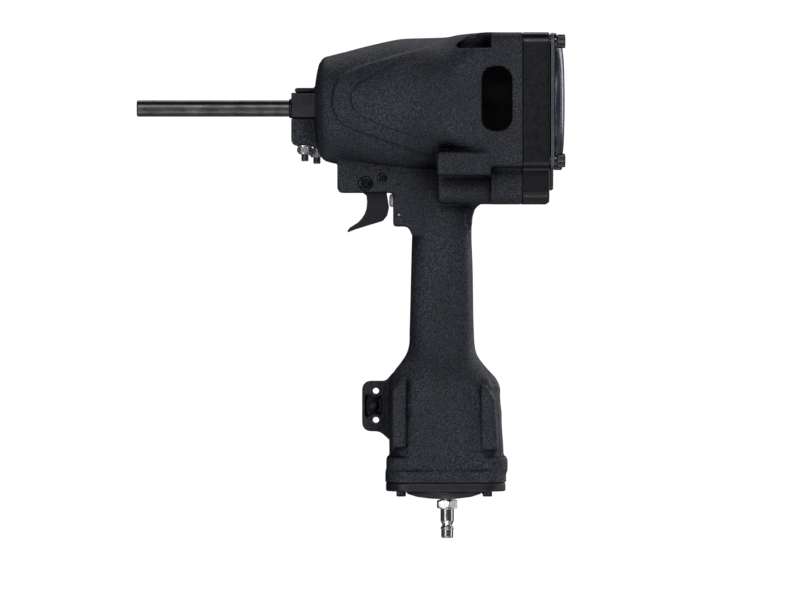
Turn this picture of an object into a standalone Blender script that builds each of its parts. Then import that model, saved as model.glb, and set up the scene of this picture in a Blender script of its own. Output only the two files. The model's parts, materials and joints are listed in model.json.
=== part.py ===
"""Air-powered nail punch: a pistol-grip tool whose piston drives a rod down a long nose tube.

The nose points to -X, the handle hangs down -Z, and Y = 0 is the middle plane. Lengths are in mm
until the mesh is made, where MM turns them into metres.
"""

import math

import bmesh
import bpy

MM = 0.001
ARC_ERROR = 0.18
ROUND_STEPS = 36
INNER_STEPS = 24
SMALL_STEPS = 16
TINY_STEPS = 12

# Overall layout
NOSE_TIP_X = -156.0
AXIS_Z = 129.5
TOP_Z = 184.0
PLUG_TIP_Z = -184.0
GRIP_X = 70.5
REAR_X = 155.9

# Housing and cap
HOUSING_REAR_X = 124.1
FLANGE_FRONT_X = 101.4
CAP_HALF_WIDTH = 49.5
CAP_TOP_Z = 183.2
CAP_STEP_Z = 85.8
CAP_CORNER = 8.0
CHAMBER_HALF_WIDTH = 38.0
CHAMBER_BOTTOM_Z = 59.9
CAP_FRONT_X = 124.8
CAP_REAR_X = 144.2
BADGE_X = 105.8
BADGE_Z = 135.0
BADGE_WIDTH = 22.8
BADGE_HEIGHT = 48.0
BADGE_SUNK = 0.6

# Cap bolts, M6
BOLT_Y = 41.8
BOLT_Z = (176.6, 90.5)
BOLT_RADIUS = 2.95
BOLT_HEAD_RADIUS = 5.0
BOLT_TIP_X = 106.0
PLATE_FRONT_X = 145.0
PLATE_REAR_X = 147.4
WASHER_REAR_X = 149.1
BOLT_HEAD_REAR_X = 155.5
COVER_CENTRE_Z = 133.5
COVER_RADIUS = 48.0

# Cylinder, piston and driver
BORE_FRONT_X = -8.0
SLEEVE_OUTER = 35.0
SLEEVE_INNER = 31.0
SLEEVE_REAR_X = 121.0
RESERVOIR_RADIUS = 40.5
RESERVOIR_FRONT_X = 22.0
BUMPER_REAR_X = 12.0
PISTON_FRONT_X = 98.5
PISTON_REAR_X = 119.0
PISTON_RADIUS = 30.7
DRIVER_RADIUS = 3.0
DRIVER_TIP_X = -73.0

# Nose
TUBE_RADIUS = 6.0
TUBE_BORE = 3.5
TUBE_REAR_X = -9.0
BLOCK_FRONT_X = -43.1
BLOCK_REAR_X = -14.3
BLOCK_BOTTOM_Z = 122.6
BLOCK_TOP_Z = 140.6
NOSE_HALF_WIDTH = 13.0
CLAMPS = ((-33.2, -7.0, 102.5, 90.8), (-24.7, 7.0, 100.6, 89.3))
CLAMP_RADIUS = 2.9

# Trigger and its valve
PIVOT_X = 11.1
PIVOT_Z = 74.3
CHEEK_HALF_WIDTH = 17.0
SLOT_HALF_WIDTH = 7.8
TRIGGER_HALF_WIDTH = 7.0
STOP_X = 23.0
STOP_Z = 78.3
VALVE_Z = 62.3
HANDLE_FRONT_X = 31.0
VALVE_BODY_RADIUS = 10.2
ROLL_PIN_X = 35.3
ROLL_PIN_Z = 51.8
VENT_X = 34.7
VENT_Z = 73.9

# Base
BASE_X0 = 25.3
BASE_X1 = 113.3
BASE_HALF_WIDTH = 33.5
BASE_CORNER = 18.0
BASE_FLANGE_TOP_Z = -134.2
BASE_FLANGE_Z = -142.3
END_CAP_TOP_Z = -143.0
END_CAP_FLOOR_Z = -149.2
BOSS_X = 68.2
BOSS_RADIUS = 27.7
PLUG_SEAT_Z = -155.3
SCREW_X = (36.9, 99.5)
SCREW_Y = 24.0
LUG_HOLE_X = 18.5
LUG_HOLE_Z = (-76.6, -97.8)
LUG_HALF_THICK = 6.0

# Rows of (x, top z, bottom z, half width, roundness power) along the barrel
BARREL = (
    (-25.9, 147.0, 110.0, 18.0, 2.0),
    (-25.0, 153.6, 103.4, 25.0, 2.0),
    (-23.2, 161.8, 96.6, 32.4, 2.05),
    (-20.2, 166.2, 92.2, 36.6, 2.1),
    (-15.5, 167.8, 90.2, 38.6, 2.1),
    (-4.1, 170.7, 88.2, 41.0, 2.1),
    (7.6, 173.8, 86.4, 43.6, 2.1),
    (20.0, 176.8, 84.8, 46.0, 2.1),
    (36.0, 180.0, 83.0, 48.4, 2.1),
    (49.0, 180.7, 82.2, 49.2, 2.1),
    (61.0, 181.0, 81.8, 49.5, 2.15),
    (71.0, 181.5, 81.8, 49.5, 2.35),
    (78.0, 182.8, 82.2, 49.5, 2.9),
    (86.0, 183.5, 83.7, 49.5, 3.9),
    (94.0, 183.8, 85.0, 49.5, 5.6),
    (101.0, 184.0, 85.8, 49.5, 8.0),
    (112.0, 183.8, 86.0, 49.4, 9.0),
)
BARREL_POINTS = 40

# Rows of (z, front x, rear x, half width, roundness power) down the handle
HANDLE = (
    (84.0, 45.5, 90.0, 18.0, 2.6),
    (38.0, 44.8, 88.3, 18.4, 2.6),
    (14.5, 44.2, 89.1, 18.8, 2.6),
    (-32.2, 43.0, 90.0, 19.2, 2.6),
    (-43.9, 42.5, 90.7, 20.0, 2.6),
    (-49.7, 40.6, 92.1, 21.4, 2.7),
    (-55.6, 36.9, 95.8, 23.8, 2.8),
    (-61.4, 32.4, 100.7, 26.6, 3.0),
    (-67.2, 29.2, 105.9, 29.2, 3.3),
    (-73.1, 28.2, 108.7, 30.8, 3.6),
    (-102.3, 28.0, 110.4, 31.6, 3.8),
    (-121.0, 28.2, 111.6, 31.8, 3.8),
    (-137.0, 28.2, 111.8, 32.0, 3.8),
)
# The air space inside the handle, in the same columns
HANDLE_HOLLOW = (
    (97.0, 52.0, 84.0, 13.5, 2.2),
    (-32.2, 50.0, 83.0, 13.5, 2.2),
    (-48.0, 48.0, 85.0, 15.0, 2.2),
    (-62.0, 40.0, 97.0, 21.5, 2.2),
    (-75.0, 34.5, 104.0, 26.0, 2.1),
    (-150.0, 33.5, 105.5, 26.8, 2.1),
)
HANDLE_POINTS = 28
HOLLOW_POINTS = 16

CASTING = (0.016, 0.017, 0.020)
SATIN_BLACK = (0.020, 0.021, 0.024)
GLOSS_BLACK = (0.006, 0.006, 0.007)
DARK_STEEL = (0.045, 0.040, 0.036)
BRIGHT_STEEL = (0.55, 0.56, 0.58)
ZINC = (0.62, 0.62, 0.60)
RUBBER = (0.010, 0.010, 0.010)
WHITE_PLASTIC = (0.72, 0.72, 0.70)
ALUMINIUM = (0.42, 0.43, 0.44)


def clear_scene():
    for obj in list(bpy.data.objects):
        bpy.data.objects.remove(obj, do_unlink=True)


def new_collection(name):
    collection = bpy.data.collections.new(name)
    bpy.context.scene.collection.children.link(collection)
    return collection


clear_scene()
TOOL = new_collection("air_nail_punch")
HELPERS = new_collection("helpers")


def put(name, mesh, helper=False, origin=(0.0, 0.0, 0.0)):
    obj = bpy.data.objects.new(name, mesh)
    (HELPERS if helper else TOOL).objects.link(obj)
    if helper:
        obj.hide_render = True
        obj.display_type = "WIRE"
    obj.location = [value * MM for value in origin]
    return obj


def solid(name, points, faces, helper=False, origin=(0.0, 0.0, 0.0), smooth=False):
    """A closed body from points in mm, with its origin where the joint is."""
    mesh = bpy.data.meshes.new(name)
    ox, oy, oz = origin
    mesh.from_pydata([((x - ox) * MM, (y - oy) * MM, (z - oz) * MM) for x, y, z in points], [], faces)
    work = bmesh.new()
    work.from_mesh(mesh)
    bmesh.ops.recalc_face_normals(work, faces=work.faces)
    for face in work.faces:
        face.smooth = smooth
    work.to_mesh(mesh)
    work.free()
    return put(name, mesh, helper, origin)


def rounded(corners):
    """An outline from (u, v, radius) corners, with an arc at each corner that has a radius."""
    outline = []
    count = len(corners)
    for index, (u, v, radius) in enumerate(corners):
        if radius <= 0:
            outline.append((u, v))
            continue
        before = corners[index - 1]
        after = corners[(index + 1) % count]
        to_before = math.atan2(before[1] - v, before[0] - u)
        to_after = math.atan2(after[1] - v, after[0] - u)
        opening = (to_after - to_before + math.pi) % (2 * math.pi) - math.pi
        reach = radius / math.tan(abs(opening) / 2)
        middle = to_before + opening / 2
        away = radius / math.sin(abs(opening) / 2)
        centre = (u + away * math.cos(middle), v + away * math.sin(middle))
        first = (u + reach * math.cos(to_before), v + reach * math.sin(to_before))
        start = math.atan2(first[1] - centre[1], first[0] - centre[0])
        sweep = -math.copysign(math.pi - abs(opening), opening)
        steps = max(2, math.ceil(abs(sweep) / (2 * math.acos(1 - ARC_ERROR / max(radius, 0.5)))))
        for part in range(steps + 1):
            angle = start + sweep * part / steps
            outline.append((centre[0] + radius * math.cos(angle), centre[1] + radius * math.sin(angle)))
    return outline


def circle(u, v, radius, steps=SMALL_STEPS, turn=0.0):
    angles = [turn + 2 * math.pi * step / steps for step in range(steps)]
    return [(u + radius * math.cos(angle), v + radius * math.sin(angle)) for angle in angles]


def box_outline(u0, u1, v0, v1, radius=0.0):
    return rounded([(u0, v0, radius), (u1, v0, radius), (u1, v1, radius), (u0, v1, radius)])


def in_space(axis, along, u, v):
    return {"X": (along, u, v), "Y": (u, along, v), "Z": (u, v, along)}[axis]


def prism(name, outline, axis, start, end, **options):
    count = len(outline)
    points = [in_space(axis, start, u, v) for u, v in outline]
    points += [in_space(axis, end, u, v) for u, v in outline]
    faces = [tuple(range(count)), tuple(range(count, 2 * count))]
    for index in range(count):
        after = (index + 1) % count
        faces.append((index, after, count + after, count + index))
    return solid(name, points, faces, **options)


def loft(name, rings, **options):
    count = len(rings[0])
    points = [point for ring in rings for point in ring]
    faces = [tuple(range(count)), tuple(range(len(points) - count, len(points)))]
    for row in range(len(rings) - 1):
        for index in range(count):
            after = (index + 1) % count
            low = row * count
            faces.append((low + index, low + after, low + count + after, low + count + index))
    return solid(name, points, faces, **options)


def oval(u, v, half_u, half_v, power, count):
    """A ring between an ellipse, at power 2, and a rounded rectangle, at a high power."""
    ring = []
    for index in range(count):
        angle = 2 * math.pi * (index + 0.5) / count
        c = math.cos(angle)
        s = math.sin(angle)
        reach = (abs(c) ** power + abs(s) ** power) ** (-1 / power)
        ring.append((u + half_u * reach * c, v + half_v * reach * s))
    return ring


def turned(name, profile, axis, centre, steps=INNER_STEPS, helper=False, smooth=True):
    """A lathe-turned body from (radius, position along the axis) rows, outer side first."""
    area = 0.0
    for index, (radius, along) in enumerate(profile):
        next_radius, next_along = profile[(index + 1) % len(profile)]
        area += radius * next_along - next_radius * along
    rows = profile if area < 0 else profile[::-1]
    on_axis = min(radius for radius, along in rows) == 0.0
    mesh = bpy.data.meshes.new(name)
    edges = [(index, index + 1) for index in range(len(rows) - 1)]
    if on_axis:
        while not (rows[0][0] == 0.0 and rows[-1][0] == 0.0):
            rows = rows[1:] + rows[:1]
    else:
        edges.append((len(rows) - 1, 0))
    mesh.from_pydata([(radius * MM, 0.0, along * MM) for radius, along in rows], edges, [])
    origin = in_space(axis, 0.0, *centre)
    obj = put(name, mesh, helper, origin)
    obj.rotation_euler = {"X": (0, math.pi / 2, 0), "Y": (-math.pi / 2, 0, 0), "Z": (0, 0, 0)}[axis]
    screw = obj.modifiers.new("turn", "SCREW")
    screw.steps = steps
    screw.render_steps = steps
    screw.use_merge_vertices = True
    screw.merge_threshold = 0.00001
    screw.use_smooth_shade = smooth
    return obj


def rod(name, radius, axis, start, end, centre, steps=SMALL_STEPS, chamfer=0.0, helper=False):
    rows = [(0.0, end), (radius - chamfer, end), (radius, end - chamfer), (radius, start + chamfer)]
    rows += [(radius - chamfer, start), (0.0, start)]
    if chamfer == 0.0:
        rows = [(0.0, end), (radius, end), (radius, start), (0.0, start)]
    return turned(name, rows, axis, centre, steps, helper)


def hole(name, radius, axis, start, end, centre, steps=SMALL_STEPS):
    return rod(name, radius, axis, start, end, centre, steps, helper=True)


def boolean(obj, others, operation):
    """One exact Boolean of the object with a collection that holds all of the others."""
    group = bpy.data.collections.new(f"{obj.name}_{operation.lower()}")
    HELPERS.children.link(group)
    for other in others:
        HELPERS.objects.unlink(other)
        group.objects.link(other)
    modifier = obj.modifiers.new(operation.lower(), "BOOLEAN")
    modifier.operation = operation
    modifier.solver = "EXACT"
    modifier.operand_type = "COLLECTION"
    modifier.collection = group


def cut(obj, *cutters):
    boolean(obj, cutters, "DIFFERENCE")


def add(obj, *others):
    boolean(obj, others, "UNION")


def soften(obj, width, segments=1, angle=50.0):
    bevel = obj.modifiers.new("edges", "BEVEL")
    bevel.width = width * MM
    bevel.segments = segments
    bevel.limit_method = "ANGLE"
    bevel.angle_limit = math.radians(angle)
    return obj


def finish(obj, colour, metallic, roughness):
    material = bpy.data.materials.new(obj.name + "_finish")
    material.use_nodes = True
    shader = material.node_tree.nodes["Principled BSDF"]
    shader.inputs["Base Color"].default_value = (*colour, 1.0)
    shader.inputs["Metallic"].default_value = metallic
    shader.inputs["Roughness"].default_value = roughness
    obj.data.materials.clear()
    obj.data.materials.append(material)
    return obj


def coil(name, radius, wire, turns, start, end, centre, steps=14):
    """A round-wire spring along X, closed at both ends."""
    data = bpy.data.curves.new(name, "CURVE")
    data.dimensions = "3D"
    data.bevel_depth = wire * MM
    data.bevel_resolution = 2
    data.use_fill_caps = True
    count = int(turns * steps) + 1
    spline = data.splines.new("POLY")
    spline.points.add(count - 1)
    for index in range(count):
        part = index / (count - 1)
        angle = 2 * math.pi * turns * part
        along = start + wire + (end - start - 2 * wire) * part
        place = (along * MM, radius * math.cos(angle) * MM, radius * math.sin(angle) * MM, 1.0)
        spline.points[index].co = place
    return put(name, data, origin=(0.0, *centre))


# ---------------------------------------------------------------- housing

def barrel():
    rings = []
    for x, top, bottom, half, power in BARREL:
        ring = oval(0.0, (top + bottom) / 2, half, (top - bottom) / 2, power, BARREL_POINTS)
        rings.append([(x, y, z) for y, z in ring])
    return loft("housing", rings, smooth=True)


def down_the_handle(name, rows, count):
    rings = []
    for z, front, rear, half, power in rows:
        ring = oval((front + rear) / 2, 0.0, (rear - front) / 2, half, power, count)
        rings.append([(x, y, z) for x, y in ring])
    return loft(name, rings, helper=True)


def cap_outline(inset=0.0):
    half = CAP_HALF_WIDTH - inset
    step = CHAMBER_HALF_WIDTH - inset
    top = CAP_TOP_Z - inset
    ledge = CAP_STEP_Z + inset
    bottom = CHAMBER_BOTTOM_Z + inset
    side = [(half, top, CAP_CORNER - inset), (half, ledge, 4.0 - inset), (step, ledge, 3.0)]
    side.append((step, bottom, 9.0 - inset))
    return rounded(side + [(-y, z, radius) for y, z, radius in reversed(side)])


def rear_flange():
    return soften(prism("rear_flange", cap_outline(), "X", FLANGE_FRONT_X, HOUSING_REAR_X, helper=True), 0.5)


def air_chamber():
    outline = box_outline(-34.0, 34.0, CHAMBER_BOTTOM_Z, 104.0, 11.0)
    return soften(prism("air_chamber", outline, "X", 63.2, 108.0, helper=True), 3.0, 2)


def bolt_bosses():
    """The long bosses that the two lower cap bolts run into."""
    bosses = []
    for side in (-1, 1):
        edges = sorted((side * 26.0, side * 50.3))
        outline = box_outline(edges[0], edges[1], 79.8, 97.2, 3.0)
        boss = prism(f"bolt_boss{side}", outline, "X", 62.8, 101.9, helper=True)
        bosses.append(soften(boss, 2.0, 2))
    return bosses


def trigger_cheeks():
    corners = [(-9.6, 104.0, 0), (-9.6, 68.0, 3.2), (HANDLE_FRONT_X, 68.0, 0.8)]
    corners += [(HANDLE_FRONT_X, 43.4, 1.8), (42.0, 43.4, 3.5), (45.2, 36.0, 3.0), (62.0, 36.0, 0)]
    corners.append((62.0, 104.0, 0))
    body = prism("trigger_cheeks", rounded(corners), "Y", -CHEEK_HALF_WIDTH, CHEEK_HALF_WIDTH, helper=True)
    return soften(body, 1.5, 2)


def handle_root():
    """The web that runs the back of the grip out under the air chamber."""
    corners = [(78.0, 70.0, 0), (78.0, 40.0, 0), (88.3, 40.0, 0), (88.9, 50.0, 0), (90.6, 55.6, 0)]
    corners += [(93.2, 58.6, 0), (97.6, 60.2, 0), (97.6, 70.0, 0)]
    return soften(prism("handle_root", rounded(corners), "Y", -15.0, 15.0, helper=True), 4.0, 2)


def nose_casting():
    lip = prism("nose_lip", box_outline(-40.7, -12.0, 132.0, 144.2, 1.0), "Y", -NOSE_HALF_WIDTH,
                NOSE_HALF_WIDTH, helper=True)
    corners = [(-43.2, 132.0, 0), (-43.2, 102.5, 3.5), (-27.4, 102.5, 0.5), (-27.0, 100.6, 0.5)]
    corners += [(-18.0, 100.0, 4.0), (-8.0, 92.0, 0), (-8.0, 132.0, 0)]
    chin = prism("nose_chin", rounded(corners), "Y", -NOSE_HALF_WIDTH, NOSE_HALF_WIDTH, helper=True)
    return [soften(lip, 0.8), soften(chin, 1.2)]


def base_flange():
    flange = box_outline(BASE_X0, BASE_X1, -BASE_HALF_WIDTH, BASE_HALF_WIDTH, BASE_CORNER)
    lower = prism("base_flange", flange, "Z", BASE_FLANGE_Z, BASE_FLANGE_TOP_Z, helper=True)
    band = box_outline(26.0, 114.4, -31.0, 31.0, 15.0)
    upper = prism("base_band", band, "Z", -135.0, -124.0, helper=True)
    return [soften(lower, 0.8), soften(upper, 2.6, 2)]


def lug():
    corners = [(8.4, -69.2, 6.0), (26.0, -69.2, 4.5), (31.6, -62.0, 2.0), (48.0, -62.0, 0)]
    corners += [(48.0, -114.0, 0), (30.0, -114.0, 2.0), (21.5, -106.1, 8.0), (8.4, -106.1, 6.0)]
    body = prism("lug", rounded(corners), "Y", -LUG_HALF_THICK, LUG_HALF_THICK, helper=True)
    return soften(body, 1.2)


def ribs():
    front = [(30.2, -76.0, 1.5), (36.0, -68.5, 2.0), (41.0, -65.8, 1.5), (41.0, -117.4, 2.0)]
    front.append((30.2, -117.4, 2.0))
    rear = [(94.2, -70.9, 1.5), (99.5, -73.0, 2.0), (105.0, -82.0, 3.0), (107.2, -119.2, 2.0)]
    rear.append((94.8, -119.2, 2.0))
    made = []
    for name, corners in (("front", front), ("rear", rear)):
        for side in (-1, 1):
            rib = prism(f"rib_{name}{side}", rounded(corners), "Y", side * 20.0, side * 33.2, helper=True)
            made.append(soften(rib, 1.4))
    return made


def cylinder_hollow():
    rows = [(0.0, HOUSING_REAR_X + 2), (RESERVOIR_RADIUS, HOUSING_REAR_X + 2)]
    rows += [(RESERVOIR_RADIUS, RESERVOIR_FRONT_X + 4), (SLEEVE_OUTER + 0.3, RESERVOIR_FRONT_X)]
    rows += [(SLEEVE_OUTER + 0.3, BORE_FRONT_X), (TUBE_RADIUS + 0.3, BORE_FRONT_X)]
    rows += [(TUBE_RADIUS + 0.3, BLOCK_REAR_X - 2), (0.0, BLOCK_REAR_X - 2)]
    return turned("cylinder_hollow", rows, "X", (0.0, AXIS_Z), ROUND_STEPS, helper=True)


def chamber_hollow():
    return prism("chamber_hollow", box_outline(-27.0, 27.0, 66.0, 102.0, 6.0), "X", 70.0, 130.0, helper=True)


def nose_slot():
    reach = NOSE_HALF_WIDTH + 0.25
    outline = box_outline(-60.0, BLOCK_REAR_X + 0.3, BLOCK_BOTTOM_Z - 0.25, BLOCK_TOP_Z + 0.25)
    return prism("nose_slot", outline, "Y", -reach, reach, helper=True)


def corner_pockets():
    back = FLANGE_FRONT_X + 0.5
    corners = [(76.4, 173.6, 0), (78.4, 171.6, 0), (back, 171.6, 0), (back, 192.0, 0)]
    corners.append((98.6, 192.0, 0))
    made = []
    for side in (-1, 1):
        name = f"corner_pocket{side}"
        made.append(prism(name, rounded(corners), "Y", side * 32.0, side * 60.0, helper=True))
    return made


def trigger_slot():
    outline = box_outline(-5.4, HANDLE_FRONT_X, 50.0, 84.0, 1.0)
    return prism("trigger_slot", outline, "Y", -SLOT_HALF_WIDTH, SLOT_HALF_WIDTH, helper=True)


def trigger_holes():
    pivot = (PIVOT_X, PIVOT_Z)
    stop = (STOP_X, STOP_Z)
    cheek = CHEEK_HALF_WIDTH
    return [
        hole("pivot_hole", 2.75, "Y", -20.0, 20.0, pivot),
        hole("pivot_head_seat", 5.5, "Y", -20.0, -cheek + 2.2, pivot),
        prism("pivot_nut_seat", circle(*pivot, 5.4, 6), "Y", cheek - 3.0, 20.0, helper=True),
        hole("stop_hole", 1.75, "Y", -20.0, 20.0, stop, TINY_STEPS),
        hole("stop_head_seat", 3.7, "Y", -20.0, -cheek + 1.6, stop, TINY_STEPS),
        hole("valve_bore", VALVE_BODY_RADIUS + 0.25, "X", 24.0, 56.0, (0.0, VALVE_Z)),
        hole("roll_pin_hole", 1.2, "Y", -20.0, 20.0, (ROLL_PIN_X, ROLL_PIN_Z), TINY_STEPS),
        hole("vent_hole", 0.6, "Y", -20.0, -cheek + 5.0, (VENT_X, VENT_Z), TINY_STEPS),
    ]


def screw_holes():
    holes = []
    for side in (-1, 1):
        for z in BOLT_Z:
            place = (side * BOLT_Y, z)
            start = BOLT_TIP_X - 1.5
            holes.append(hole("bolt_hole", BOLT_RADIUS + 0.25, "X", start, 130.0, place, TINY_STEPS))
    holes += base_hole_row("base_screw_hole", 2.2, -150.0, -126.0)
    for x, y, seat, tip in CLAMPS:
        holes.append(hole("clamp_hole", CLAMP_RADIUS + 0.25, "Z", 88.0, 125.0, (x, y), TINY_STEPS))
        holes.append(hole("clamp_spot_face", 6.3, "Z", 84.0, seat, (x, y)))
    for z in LUG_HOLE_Z:
        holes.append(hole("lug_hole", 2.25, "Y", -10.0, 10.0, (LUG_HOLE_X, z), TINY_STEPS))
    return holes


def lug_pockets():
    """A shallow pocket in each side of the lug, curved round the holes, with a round boss in it."""
    pockets = []
    for side in (-1, 1):
        floor = side * (LUG_HALF_THICK - 2.6)
        outline = box_outline(10.8, 23.2, -95.6, -79.0, 1.0)
        pocket = prism(f"lug_pocket{side}", outline, "Y", floor, side * 9.0, helper=True)
        keep = [hole(f"lug_eye{side}", 5.2, "Y", -12.0, 12.0, (LUG_HOLE_X, z)) for z in LUG_HOLE_Z]
        boss = sorted((floor - side, side * (LUG_HALF_THICK - 0.8)))
        keep.append(hole(f"lug_boss{side}", 3.1, "Y", boss[0], boss[1], (16.6, -87.3), TINY_STEPS))
        cut(pocket, *keep)
        pockets.append(pocket)
    return pockets


def badge_outline(inset=0.0):
    half = BADGE_WIDTH / 2 - inset
    tall = BADGE_HEIGHT / 2 - inset
    return box_outline(BADGE_X - half, BADGE_X + half, BADGE_Z - tall, BADGE_Z + tall, half - 0.6)


def badge_seats():
    seats = []
    for side in (-1, 1):
        depth = side * (CAP_HALF_WIDTH - BADGE_SUNK)
        seats.append(prism(f"badge_seat{side}", badge_outline(-0.2), "Y", depth, side * 56.0, helper=True))
    return seats


def make_housing():
    housing = barrel()
    solids = [rear_flange(), air_chamber(), trigger_cheeks(), handle_root(), lug()]
    solids += [*bolt_bosses(), *nose_casting(), *base_flange(), *ribs()]
    solids.append(down_the_handle("handle", HANDLE, HANDLE_POINTS))
    add(housing, *solids)
    hollows = [cylinder_hollow(), chamber_hollow(), nose_slot(), trigger_slot()]
    hollows.append(down_the_handle("handle_hollow", HANDLE_HOLLOW, HOLLOW_POINTS))
    hollows += corner_pockets() + trigger_holes() + screw_holes()
    cut(housing, *hollows, *lug_pockets(), *badge_seats())
    finish(housing, CASTING, 0.0, 0.62)


# ------------------------------------------------------------ rear of head

def bolt_hole_row(name, start, end):
    return [hole(name, 3.3, "X", start, end, (side * BOLT_Y, z)) for side in (-1, 1) for z in BOLT_Z]


def base_hole_row(name, radius, start, end):
    centres = [(x, side * SCREW_Y) for side in (-1, 1) for x in SCREW_X]
    return [hole(name, radius, "Z", start, end, centre, TINY_STEPS) for centre in centres]


def make_cap():
    cap = prism("cylinder_cap", cap_outline(), "X", CAP_FRONT_X, CAP_REAR_X)
    soften(cap, 1.4, 2)
    axis = (0.0, AXIS_Z)
    valve_room = hole("valve_room", 40.0, "X", 120.0, 139.6, axis, ROUND_STEPS)
    exhaust = hole("exhaust_port", 11.0, "X", 130.0, 150.0, axis)
    passage_outline = box_outline(-27.0, 27.0, 66.0, 100.0, 6.0)
    passage = prism("cap_passage", passage_outline, "X", 120.0, 139.0, helper=True)
    cut(cap, valve_room, passage, exhaust, *bolt_hole_row("cap_bolt_hole", 120.0, 150.0))
    finish(cap, SATIN_BLACK, 0.0, 0.45)


def make_cap_gasket():
    gasket = prism("cap_gasket", cap_outline(0.7), "X", HOUSING_REAR_X + 0.1, CAP_FRONT_X - 0.1)
    window = hole("gasket_window", 40.6, "X", 120.0, 130.0, (0.0, AXIS_Z), INNER_STEPS)
    passage = box_outline(-27.0, 27.0, 66.0, 100.0, 6.0)
    lower = prism("gasket_lower_window", passage, "X", 120.0, 130.0, helper=True)
    cut(gasket, window, lower, *bolt_hole_row("gasket_bolt_hole", 120.0, 130.0))
    finish(gasket, RUBBER, 0.0, 0.8)


def make_exhaust_plate():
    side = [(CAP_HALF_WIDTH - 0.8, CAP_TOP_Z - 0.4, 7.5), (CAP_HALF_WIDTH - 0.8, 84.9, 7.0)]
    side += [(24.0, 84.9, 4.0), (19.0, 70.0, 3.0)]
    outline = rounded(side + [(-y, z, radius) for y, z, radius in reversed(side)])
    plate = soften(prism("exhaust_plate", outline, "X", PLATE_FRONT_X, PLATE_REAR_X), 0.4)
    port = hole("plate_port", 26.0, "X", 140.0, 150.0, (0.0, COVER_CENTRE_Z), INNER_STEPS)
    cut(plate, port, *bolt_hole_row("plate_bolt_hole", 140.0, 150.0))
    finish(plate, SATIN_BLACK, 0.2, 0.4)


def make_exhaust_cover():
    edge = COVER_RADIUS
    outer = [(0.0, REAR_X), (18.0, REAR_X - 0.1), (34.0, REAR_X - 0.7), (43.0, REAR_X - 1.8)]
    outer += [(46.4, REAR_X - 3.4), (edge, REAR_X - 6.4), (edge, PLATE_REAR_X + 0.2)]
    inner = [(edge - 2.0, PLATE_REAR_X + 0.2), (edge - 2.6, REAR_X - 5.4), (42.0, REAR_X - 3.6)]
    inner += [(30.0, REAR_X - 2.4), (0.0, REAR_X - 2.0)]
    cover = turned("exhaust_cover", outer + inner, "X", (0.0, COVER_CENTRE_Z), ROUND_STEPS)
    finish(cover, (0.030, 0.034, 0.042), 0.3, 0.22)


def make_cap_bolts():
    number = 0
    for z in BOLT_Z:
        for side in (-1, 1):
            number += 1
            centre = (side * BOLT_Y, z)
            head = BOLT_HEAD_RADIUS
            rows = [(0.0, BOLT_HEAD_REAR_X), (head - 0.6, BOLT_HEAD_REAR_X), (head, BOLT_HEAD_REAR_X - 0.6)]
            rows += [(head, WASHER_REAR_X + 0.2), (BOLT_RADIUS, WASHER_REAR_X + 0.2)]
            rows += [(BOLT_RADIUS, BOLT_TIP_X + 0.8), (BOLT_RADIUS - 0.8, BOLT_TIP_X), (0.0, BOLT_TIP_X)]
            bolt = turned(f"cap_bolt_{number}", rows, "X", centre, SMALL_STEPS)
            socket = prism(f"bolt_socket_{number}", circle(*centre, 2.9, 6), "X", BOLT_HEAD_REAR_X - 3.2, 160.0,
                           helper=True)
            cut(bolt, socket)
            finish(bolt, GLOSS_BLACK, 0.6, 0.25)
            ring = [(6.0, WASHER_REAR_X), (6.0, PLATE_REAR_X + 0.1), (3.25, PLATE_REAR_X + 0.1)]
            ring.append((3.25, WASHER_REAR_X))
            washer = turned(f"cap_washer_{number}", ring, "X", centre, SMALL_STEPS)
            finish(washer, GLOSS_BLACK, 0.6, 0.3)


# ------------------------------------------------------- cylinder and piston

def make_sleeve():
    rows = [(SLEEVE_OUTER, SLEEVE_REAR_X), (SLEEVE_OUTER, BORE_FRONT_X + 0.2), (SLEEVE_INNER, BORE_FRONT_X + 0.2)]
    rows.append((SLEEVE_INNER, SLEEVE_REAR_X))
    sleeve = turned("cylinder_sleeve", groove(rows, 0, SLEEVE_OUTER, (20.0, 4.0), 2.2), "X", (0.0, AXIS_Z))
    finish(sleeve, ALUMINIUM, 1.0, 0.35)


def groove(rows, after, radius, places, half):
    """The profile with a square groove 1.9 deep cut in its outer side at each place."""
    cuts = []
    for place in places:
        cuts += [(radius, place + half), (radius - 1.9, place + half)]
        cuts += [(radius - 1.9, place - half), (radius, place - half)]
    return rows[: after + 1] + cuts + rows[after + 1 :]


def make_ring(name, centre_radius, wire, x, colour, steps=6):
    rows = []
    for step in range(steps):
        angle = -2 * math.pi * step / steps
        rows.append((centre_radius + wire * math.cos(angle), x + wire * math.sin(angle)))
    return finish(turned(name, rows, "X", (0.0, AXIS_Z)), colour, 0.0, 0.6)


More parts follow.
